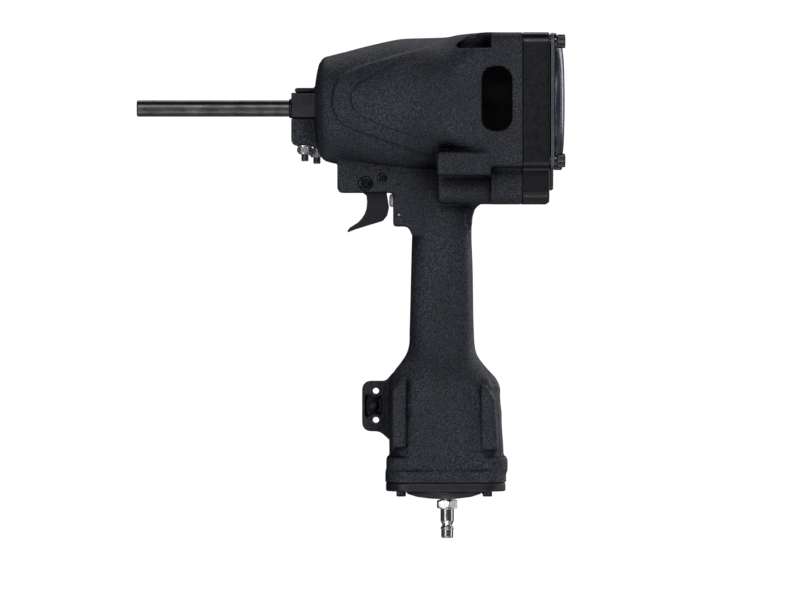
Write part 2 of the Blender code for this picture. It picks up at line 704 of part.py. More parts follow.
def make_piston_group():
    rows = [(0.0, PISTON_REAR_X), (PISTON_RADIUS - 0.8, PISTON_REAR_X), (PISTON_RADIUS, PISTON_REAR_X - 0.8)]
    rows += [(PISTON_RADIUS, 112.3), (PISTON_RADIUS - 2.9, 112.3), (PISTON_RADIUS - 2.9, 107.7)]
    rows += [(PISTON_RADIUS, 107.7), (PISTON_RADIUS, 104.8), (14.0, 102.0), (9.0, PISTON_FRONT_X)]
    rows += [(5.1, PISTON_FRONT_X), (5.1, PISTON_REAR_X - 5.0), (0.0, PISTON_REAR_X - 5.0)]
    finish(turned("piston", rows, "X", (0.0, AXIS_Z)), ALUMINIUM, 1.0, 0.35)
    make_ring("piston_ring", 29.1, 1.25, 110.0, RUBBER)
    root = PISTON_REAR_X - 5.2
    rows = [(0.0, root), (4.9, root), (4.9, 94.0), (DRIVER_RADIUS, 90.0), (DRIVER_RADIUS, DRIVER_TIP_X + 0.6)]
    rows += [(DRIVER_RADIUS - 0.6, DRIVER_TIP_X), (0.0, DRIVER_TIP_X)]
    finish(turned("driver_rod", rows, "X", (0.0, AXIS_Z), SMALL_STEPS), BRIGHT_STEEL, 1.0, 0.25)


def make_bumper():
    rows = [(SLEEVE_INNER - 3.5, BUMPER_REAR_X), (SLEEVE_INNER - 0.6, BUMPER_REAR_X - 4.0)]
    rows += [(SLEEVE_INNER - 0.6, BORE_FRONT_X + 0.4), (TUBE_RADIUS + 0.6, BORE_FRONT_X + 0.4)]
    rows += [(TUBE_RADIUS + 0.6, BUMPER_REAR_X - 3.0), (11.5, BUMPER_REAR_X)]
    finish(turned("bumper", rows, "X", (0.0, AXIS_Z)), RUBBER, 0.0, 0.7)


def make_head_valve():
    rows = [(39.6, 131.0), (39.6, 129.4), (37.9, 129.4), (37.9, 126.6), (39.6, 126.6), (39.6, 124.0)]
    rows += [(36.2, 122.6), (36.2, 123.6), (29.8, 123.6), (29.8, 121.6), (12.0, 121.6), (12.0, 131.0)]
    finish(turned("head_valve", rows, "X", (0.0, AXIS_Z)), (0.08, 0.08, 0.09), 0.0, 0.45)
    make_ring("head_valve_ring", 38.75, 0.75, 128.0, RUBBER)
    seal = [(36.0, 123.4), (36.0, 121.2), (30.0, 121.2), (30.0, 123.4)]
    finish(turned("head_valve_seal", seal, "X", (0.0, AXIS_Z)), RUBBER, 0.0, 0.7)
    spring = coil("head_valve_spring", 24.0, 0.75, 2.5, 131.3, 139.3, (0.0, AXIS_Z), 14)
    finish(spring, BRIGHT_STEEL, 1.0, 0.3)


# --------------------------------------------------------------------- nose

def make_nose_block():
    half = NOSE_HALF_WIDTH - 0.1
    outline = box_outline(-half, half, BLOCK_BOTTOM_Z, BLOCK_TOP_Z)
    block = soften(prism("nose_block", outline, "X", BLOCK_FRONT_X, BLOCK_REAR_X), 0.9)
    rows = [(6.7, BLOCK_FRONT_X + 3.0), (6.7, BLOCK_FRONT_X - 0.1), (7.2, BLOCK_FRONT_X - 0.1), (7.2, -44.2)]
    rows += [(6.5, -44.9), (0.0, -44.9), (0.0, BLOCK_FRONT_X + 3.0)]
    add(block, turned("nose_collar", rows, "X", (0.0, AXIS_Z), helper=True))
    cut(block, hole("block_bore", TUBE_RADIUS + 0.12, "X", -60.0, 0.0, (0.0, AXIS_Z), 28))
    finish(block, DARK_STEEL, 0.8, 0.35)


def make_nose_tube():
    rows = [(TUBE_RADIUS, TUBE_REAR_X), (TUBE_RADIUS, NOSE_TIP_X + 0.7), (TUBE_RADIUS - 0.7, NOSE_TIP_X)]
    rows += [(TUBE_BORE + 0.3, NOSE_TIP_X), (TUBE_BORE, NOSE_TIP_X + 0.5), (TUBE_BORE, TUBE_REAR_X)]
    finish(turned("nose_tube", rows, "X", (0.0, AXIS_Z), 28), DARK_STEEL, 0.8, 0.3)


def hex_ring(name, centre, flats, bore, bottom, top, turn):
    """A nut: a hexagon with turned chamfers on its corners and a hole through it."""
    corner = flats / math.sqrt(3)
    nut = prism(name, circle(*centre, corner, 6, turn), "Z", bottom, top)
    edge = flats / 2 - 0.1
    rows = [(edge, top + 0.03), (corner + 0.2, top - 0.9), (corner + 0.2, bottom + 0.9), (edge, bottom - 0.03)]
    rows += [(bore, bottom - 0.03), (bore, top + 0.03)]
    boolean(nut, [turned(name + "_chamfer", rows, "Z", centre, SMALL_STEPS, helper=True)], "INTERSECT")
    return nut


def make_nose_clamps():
    for number, (x, y, seat, tip) in enumerate(CLAMPS, 1):
        screw = rod(f"nose_clamp_screw_{number}", CLAMP_RADIUS, "Z", tip, BLOCK_BOTTOM_Z - 0.1, (x, y), chamfer=0.5)
        socket = prism(f"clamp_socket_{number}", circle(x, y, 1.7, 6), "Z", tip - 1.0, tip + 3.0, helper=True)
        cut(screw, socket)
        finish(screw, ZINC, 1.0, 0.35)
        ring = [(5.6, seat - 0.15), (5.6, seat - 1.35), (3.2, seat - 1.35), (3.2, seat - 0.15)]
        finish(turned(f"nose_washer_{number}", ring, "Z", (x, y), SMALL_STEPS), ZINC, 1.0, 0.3)
        nut = hex_ring(f"nose_lock_nut_{number}", (x, y), 10.0, 3.05, seat - 6.6, seat - 1.5, math.pi / 2)
        finish(nut, ZINC, 1.0, 0.3)


# ------------------------------------------------------------------ trigger

def make_trigger():
    corners = [(26.3, 68.5, 2.0), (28.1, 57.4, 2.5), (26.9, 51.6, 2.5), (23.6, 47.4, 3.0), (9.7, 43.2, 0)]
    corners += [(3.4, 41.2, 0), (-2.1, 39.1, 0.4), (-2.4, 39.8, 0.3), (-0.7, 42.4, 0), (2.5, 44.4, 0)]
    corners += [(5.55, 46.4, 0), (8.2, 49.2, 0), (10.2, 52.4, 0), (11.5, 56.0, 0), (12.0, 61.0, 0)]
    corners += [(11.6, 66.0, 2.0), (5.2, 70.5, 2.5), (4.6, 78.5, 4.0), (16.0, 80.6, 3.0), (19.5, 74.4, 2.5)]
    corners.append((24.6, 73.4, 2.0))
    half = TRIGGER_HALF_WIDTH
    trigger = prism("trigger", rounded(corners), "Y", -half, half, origin=(PIVOT_X, 0.0, PIVOT_Z))
    soften(trigger, 1.0, 2)
    cut(trigger, hole("trigger_eye", 2.75, "Y", -12.0, 12.0, (PIVOT_X, PIVOT_Z)))
    finish(trigger, SATIN_BLACK, 0.0, 0.4)


def make_pivot_screw():
    cheek = CHEEK_HALF_WIDTH
    head = -cheek + 2.0
    rows = [(0.0, 16.4), (2.0, 16.4), (2.5, 15.9), (2.5, head), (5.05, head), (5.05, head - 1.9)]
    rows += [(4.4, head - 2.5), (0.0, head - 2.5)]
    screw = turned("trigger_pin", rows, "Y", (PIVOT_X, PIVOT_Z), SMALL_STEPS)
    cross = box_outline(PIVOT_X - 2.6, PIVOT_X + 2.6, PIVOT_Z - 0.6, PIVOT_Z + 0.6)
    upright = box_outline(PIVOT_X - 0.6, PIVOT_X + 0.6, PIVOT_Z - 2.6, PIVOT_Z + 2.6)
    slots = [prism("cross_slot", outline, "Y", -25.0, head - 1.2, helper=True) for outline in (cross, upright)]
    cut(screw, *slots)
    finish(screw, GLOSS_BLACK, 0.7, 0.3)
    nut = soften(prism("trigger_pin_nut", circle(PIVOT_X, PIVOT_Z, 5.0, 6), "Y", cheek - 2.8, cheek + 0.6), 0.3)
    cut(nut, hole("pin_nut_bore", 2.65, "Y", 10.0, 25.0, (PIVOT_X, PIVOT_Z)))
    finish(nut, GLOSS_BLACK, 0.7, 0.3)


def make_stop_screw():
    head = -CHEEK_HALF_WIDTH + 1.4
    rows = [(0.0, 15.5), (1.2, 15.5), (1.5, 15.2), (1.5, head), (3.4, head), (3.4, head - 1.2)]
    rows += [(2.8, head - 1.7), (0.0, head - 1.7)]
    screw = turned("trigger_stop_screw", rows, "Y", (STOP_X, STOP_Z), TINY_STEPS)
    slot = box_outline(STOP_X - 2.0, STOP_X + 2.0, STOP_Z - 0.4, STOP_Z + 0.4)
    cut(screw, prism("stop_slot", slot, "Y", -25.0, head - 0.8, helper=True))
    finish(screw, GLOSS_BLACK, 0.7, 0.3)


def make_trigger_valve():
    axis = (0.0, VALVE_Z)
    rows = [(VALVE_BODY_RADIUS, 51.0), (VALVE_BODY_RADIUS, 37.0), (9.0, 37.0), (9.0, 33.6)]
    rows += [(VALVE_BODY_RADIUS, 33.6), (VALVE_BODY_RADIUS, 31.3), (5.0, 31.3), (5.0, 40.0), (6.2, 40.0)]
    rows += [(6.2, 49.0), (2.0, 49.0), (2.0, 51.0)]
    finish(turned("trigger_valve_body", rows, "X", axis, 24), (0.10, 0.10, 0.11), 0.0, 0.5)
    rows = [(0.0, 47.0), (1.6, 47.0), (1.6, 43.2), (5.9, 43.2), (5.9, 40.6), (4.7, 40.6), (4.7, 29.2)]
    rows += [(3.2, 28.3), (0.0, 28.15)]
    finish(turned("trigger_valve_plunger", rows, "X", axis, SMALL_STEPS), WHITE_PLASTIC, 0.0, 0.35)
    finish(coil("trigger_valve_spring", 4.6, 0.4, 3.0, 43.4, 48.8, axis, 10), BRIGHT_STEEL, 1.0, 0.3)
    centre = (ROLL_PIN_X, ROLL_PIN_Z)
    rows = [(1.1, 16.8), (1.1, -16.8), (0.5, -16.8), (0.5, 16.8)]
    finish(turned("valve_roll_pin", rows, "Y", centre, TINY_STEPS), ZINC, 1.0, 0.3)


# --------------------------------------------------------------------- base

def make_end_cap():
    inset = 0.5
    outline = box_outline(BASE_X0 + inset, BASE_X1 - inset, inset - BASE_HALF_WIDTH, BASE_HALF_WIDTH - inset,
                          BASE_CORNER - inset)
    cap = soften(prism("end_cap", outline, "Z", END_CAP_FLOOR_Z, END_CAP_TOP_Z), 1.6, 2)
    rows = [(0.0, -147.0), (BOSS_RADIUS, -147.0), (BOSS_RADIUS, -150.6), (BOSS_RADIUS - 1.0, -151.9)]
    rows += [(20.0, -154.0), (10.0, PLUG_SEAT_Z), (0.0, PLUG_SEAT_Z)]
    add(cap, turned("end_cap_boss", rows, "Z", (BOSS_X, 0.0), helper=True))
    room = [(0.0, -140.0), (24.0, -140.0), (24.0, -147.6), (16.0, -149.5), (0.0, -149.5)]
    room_cut = turned("end_cap_room", room, "Z", (BOSS_X, 0.0), helper=True)
    plug_cut = hole("plug_hole", 6.6, "Z", -160.0, -140.0, (GRIP_X, 0.0))
    cut(cap, room_cut, plug_cut, *base_hole_row("end_screw_hole", 2.3, -160.0, -140.0))
    finish(cap, SATIN_BLACK, 0.0, 0.42)
    sheet = box_outline(BASE_X0 + 0.9, BASE_X1 - 0.9, 0.9 - BASE_HALF_WIDTH, BASE_HALF_WIDTH - 0.9, BASE_CORNER - 0.9)
    gasket = prism("end_cap_gasket", sheet, "Z", END_CAP_TOP_Z + 0.1, BASE_FLANGE_Z - 0.1)
    window = prism("base_window", oval(69.5, 0.0, 36.0, 26.8, 2.1, INNER_STEPS), "Z", -150.0, -135.0, helper=True)
    cut(gasket, window, *base_hole_row("base_gasket_hole", 2.3, -150.0, -135.0))
    finish(gasket, RUBBER, 0.0, 0.8)


def make_end_screws():
    number = 0
    for x in SCREW_X:
        for side in (-1, 1):
            number += 1
            top = END_CAP_FLOOR_Z - 0.2
            rows = [(0.0, -128.0), (1.6, -128.0), (2.0, -128.4), (2.0, top), (3.5, top), (3.5, top - 2.8)]
            rows += [(2.9, top - 3.5), (0.0, top - 3.5)]
            screw = turned(f"end_cap_screw_{number}", rows, "Z", (x, side * SCREW_Y), TINY_STEPS)
            socket = prism(f"end_socket_{number}", circle(x, side * SCREW_Y, 1.7, 6), "Z", -160.0, top - 1.6,
                           helper=True)
            cut(screw, socket)
            finish(screw, GLOSS_BLACK, 0.6, 0.3)


def make_air_plug():
    centre = (GRIP_X, 0.0)
    seat = PLUG_SEAT_Z - 0.1
    plug = hex_ring("air_plug", centre, 14.0, 4.5, -162.4, seat - 0.9, math.radians(8.0))
    rows = [(3.6, -146.0), (6.0, -146.0), (6.35, -147.0), (6.35, seat - 0.3), (5.1, seat - 0.3), (5.1, -158.0)]
    rows += [(4.9, -158.0), (4.9, -171.4), (3.75, -174.0), (3.75, -175.2), (4.8, -176.2), (4.8, -177.2)]
    rows += [(4.4, -177.7), (4.4, -183.0), (3.8, PLUG_TIP_Z), (3.0, PLUG_TIP_Z), (2.6, -183.4)]
    rows += [(2.6, -160.0), (3.6, -158.0)]
    add(plug, turned("plug_stem", rows, "Z", centre, 24, helper=True))
    finish(plug, BRIGHT_STEEL, 1.0, 0.15)


def make_badges():
    for name, side in (("badge_near", -1), ("badge_far", 1)):
        inner = side * (CAP_HALF_WIDTH - BADGE_SUNK + 0.1)
        badge = prism(name, badge_outline(), "Y", inner, side * (CAP_HALF_WIDTH + 0.35))
        finish(soften(badge, 0.25), GLOSS_BLACK, 0.0, 0.12)


make_housing()
make_cap()
make_cap_gasket()
make_exhaust_plate()
make_exhaust_cover()
make_cap_bolts()
make_sleeve()
make_ring("sleeve_ring_front", 34.15, 0.95, 4.0, RUBBER)
make_ring("sleeve_ring_rear", 34.15, 0.95, 20.0, RUBBER)
make_piston_group()
make_bumper()
make_head_valve()
make_nose_block()
make_nose_tube()
make_nose_clamps()
make_trigger()
make_pivot_screw()
make_stop_screw()
make_trigger_valve()
make_end_cap()
make_end_screws()
make_air_plug()
make_badges()
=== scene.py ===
import json
import math

import bmesh
import bpy
import numpy as np
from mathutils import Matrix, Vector


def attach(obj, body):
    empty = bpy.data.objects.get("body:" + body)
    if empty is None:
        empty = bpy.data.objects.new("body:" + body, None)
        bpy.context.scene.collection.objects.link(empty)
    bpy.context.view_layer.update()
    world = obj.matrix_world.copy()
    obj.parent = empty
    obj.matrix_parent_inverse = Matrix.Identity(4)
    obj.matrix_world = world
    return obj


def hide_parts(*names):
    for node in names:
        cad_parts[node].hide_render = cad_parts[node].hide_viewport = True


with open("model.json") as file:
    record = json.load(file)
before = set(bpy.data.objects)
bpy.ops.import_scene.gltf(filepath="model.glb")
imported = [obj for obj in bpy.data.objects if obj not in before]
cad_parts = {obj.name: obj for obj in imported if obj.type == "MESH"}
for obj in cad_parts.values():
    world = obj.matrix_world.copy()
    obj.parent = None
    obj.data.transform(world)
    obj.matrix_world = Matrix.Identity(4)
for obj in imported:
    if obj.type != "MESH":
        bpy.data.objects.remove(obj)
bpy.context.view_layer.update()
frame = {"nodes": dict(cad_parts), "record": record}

NODES = frame["nodes"]
MM = 0.001

# Layout of the tool, in mm: the nose points to -X, the grip hangs down -Z, and Y = 0 is the
# middle plane
BORE_Z = 129.5
CAP_SEAM_X = 124.1
BASE_SEAM_Z = -142.3
COVER_Z = 133.5
PLUG_X = 70.5

# The trigger cheeks: half their width, and their pivot screw, stop screw, roll pin and vent
# hole, as x, z
CHEEK = 17.0
PIVOT = (11.1, 74.3)
STOP = (23.0, 78.3)
ROLL_PIN = (35.3, 51.8)
VENT = (34.7, 73.9)

# The rear socket screws as y, z, the base screws as x, y, and the lug's holes as x, z
CAP_BOLT_PLACES = [(side * 41.8, z) for z in (176.6, 90.5) for side in (-1, 1)]
END_SCREW_PLACES = [(x, side * 24.0) for x in (36.9, 99.5) for side in (-1, 1)]
LUG_HOLES = ((18.5, -76.6), (18.5, -97.8))

# The clamp studs: x, y, the z where the washer sits, and the z of the stud's tip
NOSE_CLAMPS = ((-33.2, -7.0, 102.5, 90.8), (-24.7, 7.0, 100.6, 89.3))

# Barrel: x, top z, bottom z, half width, roundness power
BARREL = np.array((
    (-25.9, 147.0, 110.0, 18.0, 2.0), (-25.0, 153.6, 103.4, 25.0, 2.0),
    (-23.2, 161.8, 96.6, 32.4, 2.05), (-20.2, 166.2, 92.2, 36.6, 2.1),
    (-15.5, 167.8, 90.2, 38.6, 2.1), (-4.1, 170.7, 88.2, 41.0, 2.1),
    (7.6, 173.8, 86.4, 43.6, 2.1), (20.0, 176.8, 84.8, 46.0, 2.1),
    (36.0, 180.0, 83.0, 48.4, 2.1), (49.0, 180.7, 82.2, 49.2, 2.1),
    (61.0, 181.0, 81.8, 49.5, 2.15), (71.0, 181.5, 81.8, 49.5, 2.35),
    (78.0, 182.8, 82.2, 49.5, 2.9), (86.0, 183.5, 83.7, 49.5, 3.9),
    (94.0, 183.8, 85.0, 49.5, 5.6), (101.0, 184.0, 85.8, 49.5, 8.0),
    (112.0, 183.8, 86.0, 49.4, 9.0)))

# Grip, from its foot up: z, front x, rear x, half width, roundness power
GRIP = np.array((
    (-137.0, 28.2, 111.8, 32.0, 3.8), (-121.0, 28.2, 111.6, 31.8, 3.8),
    (-102.3, 28.0, 110.4, 31.6, 3.8), (-73.1, 28.2, 108.7, 30.8, 3.6),
    (-67.2, 29.2, 105.9, 29.2, 3.3), (-61.4, 32.4, 100.7, 26.6, 3.0),
    (-55.6, 36.9, 95.8, 23.8, 2.8), (-49.7, 40.6, 92.1, 21.4, 2.7),
    (-43.9, 42.5, 90.7, 20.0, 2.6), (-32.2, 43.0, 90.0, 19.2, 2.6),
    (14.5, 44.2, 89.1, 18.8, 2.6), (38.0, 44.8, 88.3, 18.4, 2.6),
    (84.0, 45.5, 90.0, 18.0, 2.6)))

# The lines of the two cast steps that run round the nose end of each flank, as x, z. Each is
# open at the rear, where nothing is drawn between its first point and its last
STEP_REAR_X = 74.0
OUTER_STEP = np.array((
    (74.0, 178.6), (68.5, 177.1), (46.3, 170.4), (30.0, 166.0), (14.2, 161.3), (4.0, 157.6),
    (-4.1, 153.4), (-8.3, 149.6), (-11.2, 144.4), (-12.7, 139.4), (-13.1, 134.2), (-12.6, 129.0),
    (-11.0, 124.0), (-8.2, 119.6), (-4.1, 116.0), (3.0, 112.6), (11.2, 109.9), (26.6, 104.4),
    (46.3, 97.6), (74.0, 89.0)))
INNER_STEP = np.array((
    (74.0, 166.8), (64.5, 164.9), (48.0, 161.5), (32.4, 157.4), (19.0, 152.9), (8.3, 147.6),
    (3.2, 143.8), (0.6, 139.4), (0.0, 134.6), (1.6, 129.6), (4.4, 125.8), (8.3, 122.6),
    (21.1, 116.2), (43.4, 108.9), (74.0, 99.8)))

# Name, line, how far it is raised, height of the drawn riser, and the x where it has died away,
# in mm
CAST_STEPS = (
    ("outer_step", OUTER_STEP, 0.55, 1.0, 66.0),
    ("inner_step", INNER_STEP, 0.3, 0.6, 60.0))

# The casting's skin: voxel size in mm, rounds of smoothing, and the number of faces above
# which a mesh is so fine that its flat faces need no evening out
SKIN_VOXEL = 0.95
SKIN_ROUNDS = 5
FINE_SKIN_FACES = 60000

# Radii in mm of the holes and screw seats in the trigger cheeks and of the lug's holes
PIVOT_HOLE = 2.75
PIVOT_SEAT = 5.5
STOP_HOLE = 1.75
STOP_SEAT = 3.7
PIN_HOLE = 1.2
VENT_HOLE = 0.75
LUG_EYE = 2.25

# The floor, in mm
FLOOR_Z = -1400
FLOOR_REACH = 9000

# The lights: where they aim, in metres, and their colour, a little cooler than white. The
# backdrop shines on the tool with the strength AMBIENT, and is seen with the strength BACKDROP
STUDIO_MIDDLE = (0.03, 0.0, 0.03)
LAMP_COLOUR = (0.93, 0.945, 1.0)
AMBIENT = 0.004
BACKDROP = 1.05

# The camera: the x and z it is square to, its distance and the width it takes in, in metres,
# and its sensor's width in mm
CAMERA_MIDDLE = (0.03606, -0.00993)
CAMERA_AWAY = 4.0
FIELD_WIDTH = 0.584
SENSOR_WIDTH = 36.0


# ------------------------------------------------------------------ materials

def linear(code):
    """The linear colour of an sRGB hex value."""
    parts = [int(code[start:start + 2], 16) / 255 for start in (1, 3, 5)]
    lit = [p / 12.92 if p <= 0.04045 else ((p + 0.055) / 1.055) ** 2.4 for p in parts]
    return (*lit, 1.0)


def per_metre(size_mm):
    """The scale that draws one lump of a pattern size_mm across."""
    return 1.0 / (size_mm * MM)


def node(tree, kind, inputs=None, output=0, stops=(), **settings):
    """Adds a shader node with its settings, values, links and colour stops, and gives an output."""
    made = tree.nodes.new("ShaderNode" + kind)
    for name, value in settings.items():
        setattr(made, name, value)
    for name, value in (inputs or {}).items():
        if isinstance(value, bpy.types.NodeSocket):
            tree.links.new(value, made.inputs[name])
        else:
            made.inputs[name].default_value = value
    for index, (position, colour) in enumerate(stops):
        made.color_ramp.elements[index].position = position
        made.color_ramp.elements[index].color = linear(colour)
    return made.outputs[output] if len(made.outputs) else None


def new_material(name):
    """An empty material, its node tree, and the place on the tool in metres."""
    material = bpy.data.materials.new(name)
    material.use_nodes = True
    tree = material.node_tree
    tree.nodes.clear()
    return material, tree, node(tree, "TexCoord", output="Object")


def cast_step(tree, name, riser_mm):
    """The height of a rounded riser 0.9 mm wide along a cast step, fading out with the step."""
    distance = node(tree, "Attribute", output="Fac", attribute_name=name)
    fade = node(tree, "Attribute", output="Fac", attribute_name=name + "_fade")
    riser = node(tree, "MapRange", {
        "Value": distance, "From Min": -0.45, "From Max": 0.45,
        "To Min": 0.0, "To Max": riser_mm * MM}, interpolation_type="SMOOTHSTEP")
    return node(tree, "Math", {0: riser, 1: fade}, operation="MULTIPLY")


def textured_casting():
    """Die-cast aluminium under textured black powder coat.

    The powder cures into hard rounded grains, so the black never gives a clean reflection. The
    raised grains are coloured paler, a painted glint that stands in for the fine pale sparks of
    light that they catch. Real grains are 0.5 to 0.8 mm across. They are drawn 0.9 mm across,
    with pits 1.05 mm apart, so that they still show at arm's length.
    """
    material, tree, place = new_material("textured_black_powder_coat")
    lumps = node(tree, "TexNoise", {
        "Vector": place, "Scale": per_metre(0.9), "Detail": 1.0, "Roughness": 0.5})
    pits = node(tree, "TexVoronoi", {"Vector": place, "Scale": per_metre(1.05)})
    dents = node(tree, "MapRange", {
        "Value": pits, "From Min": 0.1, "From Max": 0.8, "To Min": 0.14, "To Max": -0.14})
    grains = node(tree, "Math", {0: lumps, 1: dents}, operation="ADD")
    # Part painted glint: the grains' dark tone, paler towards their raised tops where light catches
    # them
    grain_tone_and_painted_glint = node(tree, "ValToRGB", {"Fac": grains}, stops=((0.38, "#040507"), (0.66, "#464a56")))
    # The coat varies a little in thickness, in faint patches about 38 mm across
    patches = node(tree, "TexNoise", {
        "Vector": place, "Scale": per_metre(38.0), "Detail": 1.0, "Roughness": 0.5})
    shade = node(tree, "ValToRGB", {"Fac": patches}, stops=((0.35, "#c8cad2"), (0.7, "#ffffff")))
    colour = node(
        tree, "Mix", {"Factor": 1.0, 6: grain_tone_and_painted_glint, 7: shade}, 2, data_type="RGBA", blend_type="MULTIPLY")
    # Painted shade: ambient occlusion over 26 mm darkens the colour and dims the sheen in the inner
    # corners and recesses, where shade falls
    corners = node(tree, "AmbientOcclusion", {"Distance": 26 * MM}, "AO", samples=8)
    sheen = node(tree, "MapRange", {
        "Value": corners, "From Min": 0.55, "From Max": 0.95, "To Min": 0.02, "To Max": 0.5})
    strength = node(tree, "MapRange", {
        "Value": corners, "From Min": 0.55, "From Max": 0.95, "To Min": 0.05, "To Max": 1.0})
    corner_shaded_colour = node(tree, "HueSaturation", {"Value": strength, "Color": colour})
    height = node(tree, "MapRange", {
        "Value": grains, "From Min": 0.25, "From Max": 0.75, "To Min": 0.0, "To Max": 0.30 * MM})
    for name, _, _, riser_mm, _ in CAST_STEPS:
        riser = cast_step(tree, name, riser_mm)
        height = node(tree, "Math", {0: height, 1: riser}, operation="ADD")
    roughness = node(tree, "MapRange", {
        "Value": grains, "From Min": 0.3, "From Max": 0.7, "To Min": 0.62, "To Max": 0.44})
    normal = node(tree, "Bump", {"Strength": 1.0, "Distance": 1.0, "Height": height})
    shader = node(tree, "BsdfPrincipled", {
        "Base Color": corner_shaded_colour, "Roughness": roughness, "IOR": 1.5,
        "Specular IOR Level": sheen, "Normal": normal})
    node(tree, "OutputMaterial", {"Surface": shader})
    return material


def satin_enamel(name, dark, light, smoothness, size_mm, depth_mm):
    """Sprayed and baked enamel: soft highlights that a faint orange peel breaks up a little."""
    material, tree, place = new_material(name)
    peel = node(tree, "TexNoise", {
        "Vector": place, "Scale": per_metre(size_mm), "Detail": 2.0, "Roughness": 0.5})
    patches = node(tree, "TexNoise", {
        "Vector": place, "Scale": per_metre(26.0), "Detail": 2.0, "Roughness": 0.5})
    colour = node(tree, "ValToRGB", {"Fac": patches}, stops=((0.3, dark), (0.7, light)))
    roughness = node(tree, "MapRange", {
        "Value": peel, "From Min": 0.3, "From Max": 0.7,
        "To Min": smoothness + 0.05, "To Max": smoothness - 0.05})
    height = node(tree, "MapRange", {
        "Value": peel, "From Min": 0.3, "From Max": 0.7, "To Min": 0.0, "To Max": depth_mm * MM})
    normal = node(tree, "Bump", {"Strength": 1.0, "Distance": 1.0, "Height": height})
    shader = node(tree, "BsdfPrincipled", {
        "Base Color": colour, "Roughness": roughness, "IOR": 1.5, "Normal": normal})
    node(tree, "OutputMaterial", {"Surface": shader})
    return material


def pressed_cover():
    """Pressed steel under gloss black lacquer: a dark mirror that turns grey facing a light.

    The press leaves waves about 30 mm long, which bend the reflections slightly.
    """
    material, tree, place = new_material("gloss_black_lacquer")
    waves = node(tree, "TexNoise", {
        "Vector": place, "Scale": per_metre(30.0), "Detail": 1.0, "Roughness": 0.5})
    # Part painted sheen: the lacquer is coloured a light blue-grey, not black, which adds to the
    # broad grey sheen that its reflections give the dome
    colour = node(tree, "ValToRGB", {"Fac": waves}, stops=((0.3, "#343841"), (0.7, "#434851")))
    roughness = node(tree, "MapRange", {
        "Value": waves, "From Min": 0.3, "From Max": 0.7, "To Min": 0.32, "To Max": 0.38})
    height = node(tree, "MapRange", {
        "Value": waves, "From Min": 0.3, "From Max": 0.7, "To Min": 0.0, "To Max": 0.05 * MM})
    normal = node(tree, "Bump", {"Strength": 1.0, "Distance": 1.0, "Height": height})
    shader = node(tree, "BsdfPrincipled", {
        "Base Color": colour, "Roughness": roughness, "Metallic": 0.35,
        "Coat Weight": 0.6, "Coat Roughness": 0.2, "Normal": normal})
    node(tree, "OutputMaterial", {"Surface": shader})
    return material


def drawn_metal(name, dark, light, smoothness, along, size_mm=0.6, depth_mm=0.004, metallic=1.0):
    """Bare, plated or blackened metal: its marks stretch each highlight across the way they run.

    They run the way that the piece was drawn, turned or ground. Real marks are 0.05 to 0.2 mm
    wide. They are drawn 0.5 to 0.7 mm wide so that they show.
    """
    material, tree, place = new_material(name)
    stretch = [1.0, 1.0, 1.0]
    stretch["XYZ".index(along)] = 0.04
    streaks = node(tree, "Mapping", {"Vector": place, "Scale": stretch})
    marks = node(tree, "TexNoise", {
        "Vector": streaks, "Scale": per_metre(size_mm), "Detail": 2.0, "Roughness": 0.5})
    stain = node(tree, "TexNoise", {
        "Vector": place, "Scale": per_metre(9.0), "Detail": 3.0, "Roughness": 0.5})
    colour = node(tree, "ValToRGB", {"Fac": stain}, stops=((0.3, dark), (0.75, light)))
    roughness = node(tree, "MapRange", {
        "Value": marks, "From Min": 0.3, "From Max": 0.7,
        "To Min": smoothness - 0.06, "To Max": smoothness + 0.08})
    height = node(tree, "MapRange", {
        "Value": marks, "From Min": 0.3, "From Max": 0.7, "To Min": 0.0, "To Max": depth_mm * MM})
    normal = node(tree, "Bump", {"Strength": 1.0, "Distance": 1.0, "Height": height})
    shader = node(tree, "BsdfPrincipled", {
        "Base Color": colour, "Metallic": metallic, "Roughness": roughness, "Normal": normal})
    node(tree, "OutputMaterial", {"Surface": shader})
    return material


def oxide_fastener():
    """Alloy steel with an oiled black oxide skin, worn to pale steel on the sharpest edges.

    The oil gives the black a thin wet gloss. The oxide grows in blotches about 2 mm across.
    """
    material, tree, place = new_material("oiled_black_oxide")
    blotch = node(tree, "TexNoise", {
        "Vector": place, "Scale": per_metre(2.2), "Detail": 3.0, "Roughness": 0.5})
    skin = node(tree, "ValToRGB", {"Fac": blotch}, stops=((0.3, "#17181a"), (0.7, "#26282b")))
    edge = node(tree, "NewGeometry", output="Pointiness")
    worn = node(tree, "MapRange", {
        "Value": edge, "From Min": 0.6, "From Max": 0.75, "To Min": 0.0, "To Max": 0.35})
    colour = node(
        tree, "Mix", {"Factor": worn, 6: skin, 7: linear("#8b8e94")}, 2, data_type="RGBA")
    roughness = node(tree, "MapRange", {
        "Value": blotch, "From Min": 0.3, "From Max": 0.7, "To Min": 0.2, "To Max": 0.34})
    height = node(tree, "MapRange", {
        "Value": blotch, "From Min": 0.3, "From Max": 0.7, "To Min": 0.0, "To Max": 0.01 * MM})
    normal = node(tree, "Bump", {"Strength": 1.0, "Distance": 1.0, "Height": height})
    shader = node(tree, "BsdfPrincipled", {
        "Base Color": colour, "Metallic": 0.75, "Coat Weight": 0.8, "Coat Roughness": 0.1,
        "Roughness": roughness, "Normal": normal})
    node(tree, "OutputMaterial", {"Surface": shader})
    return material


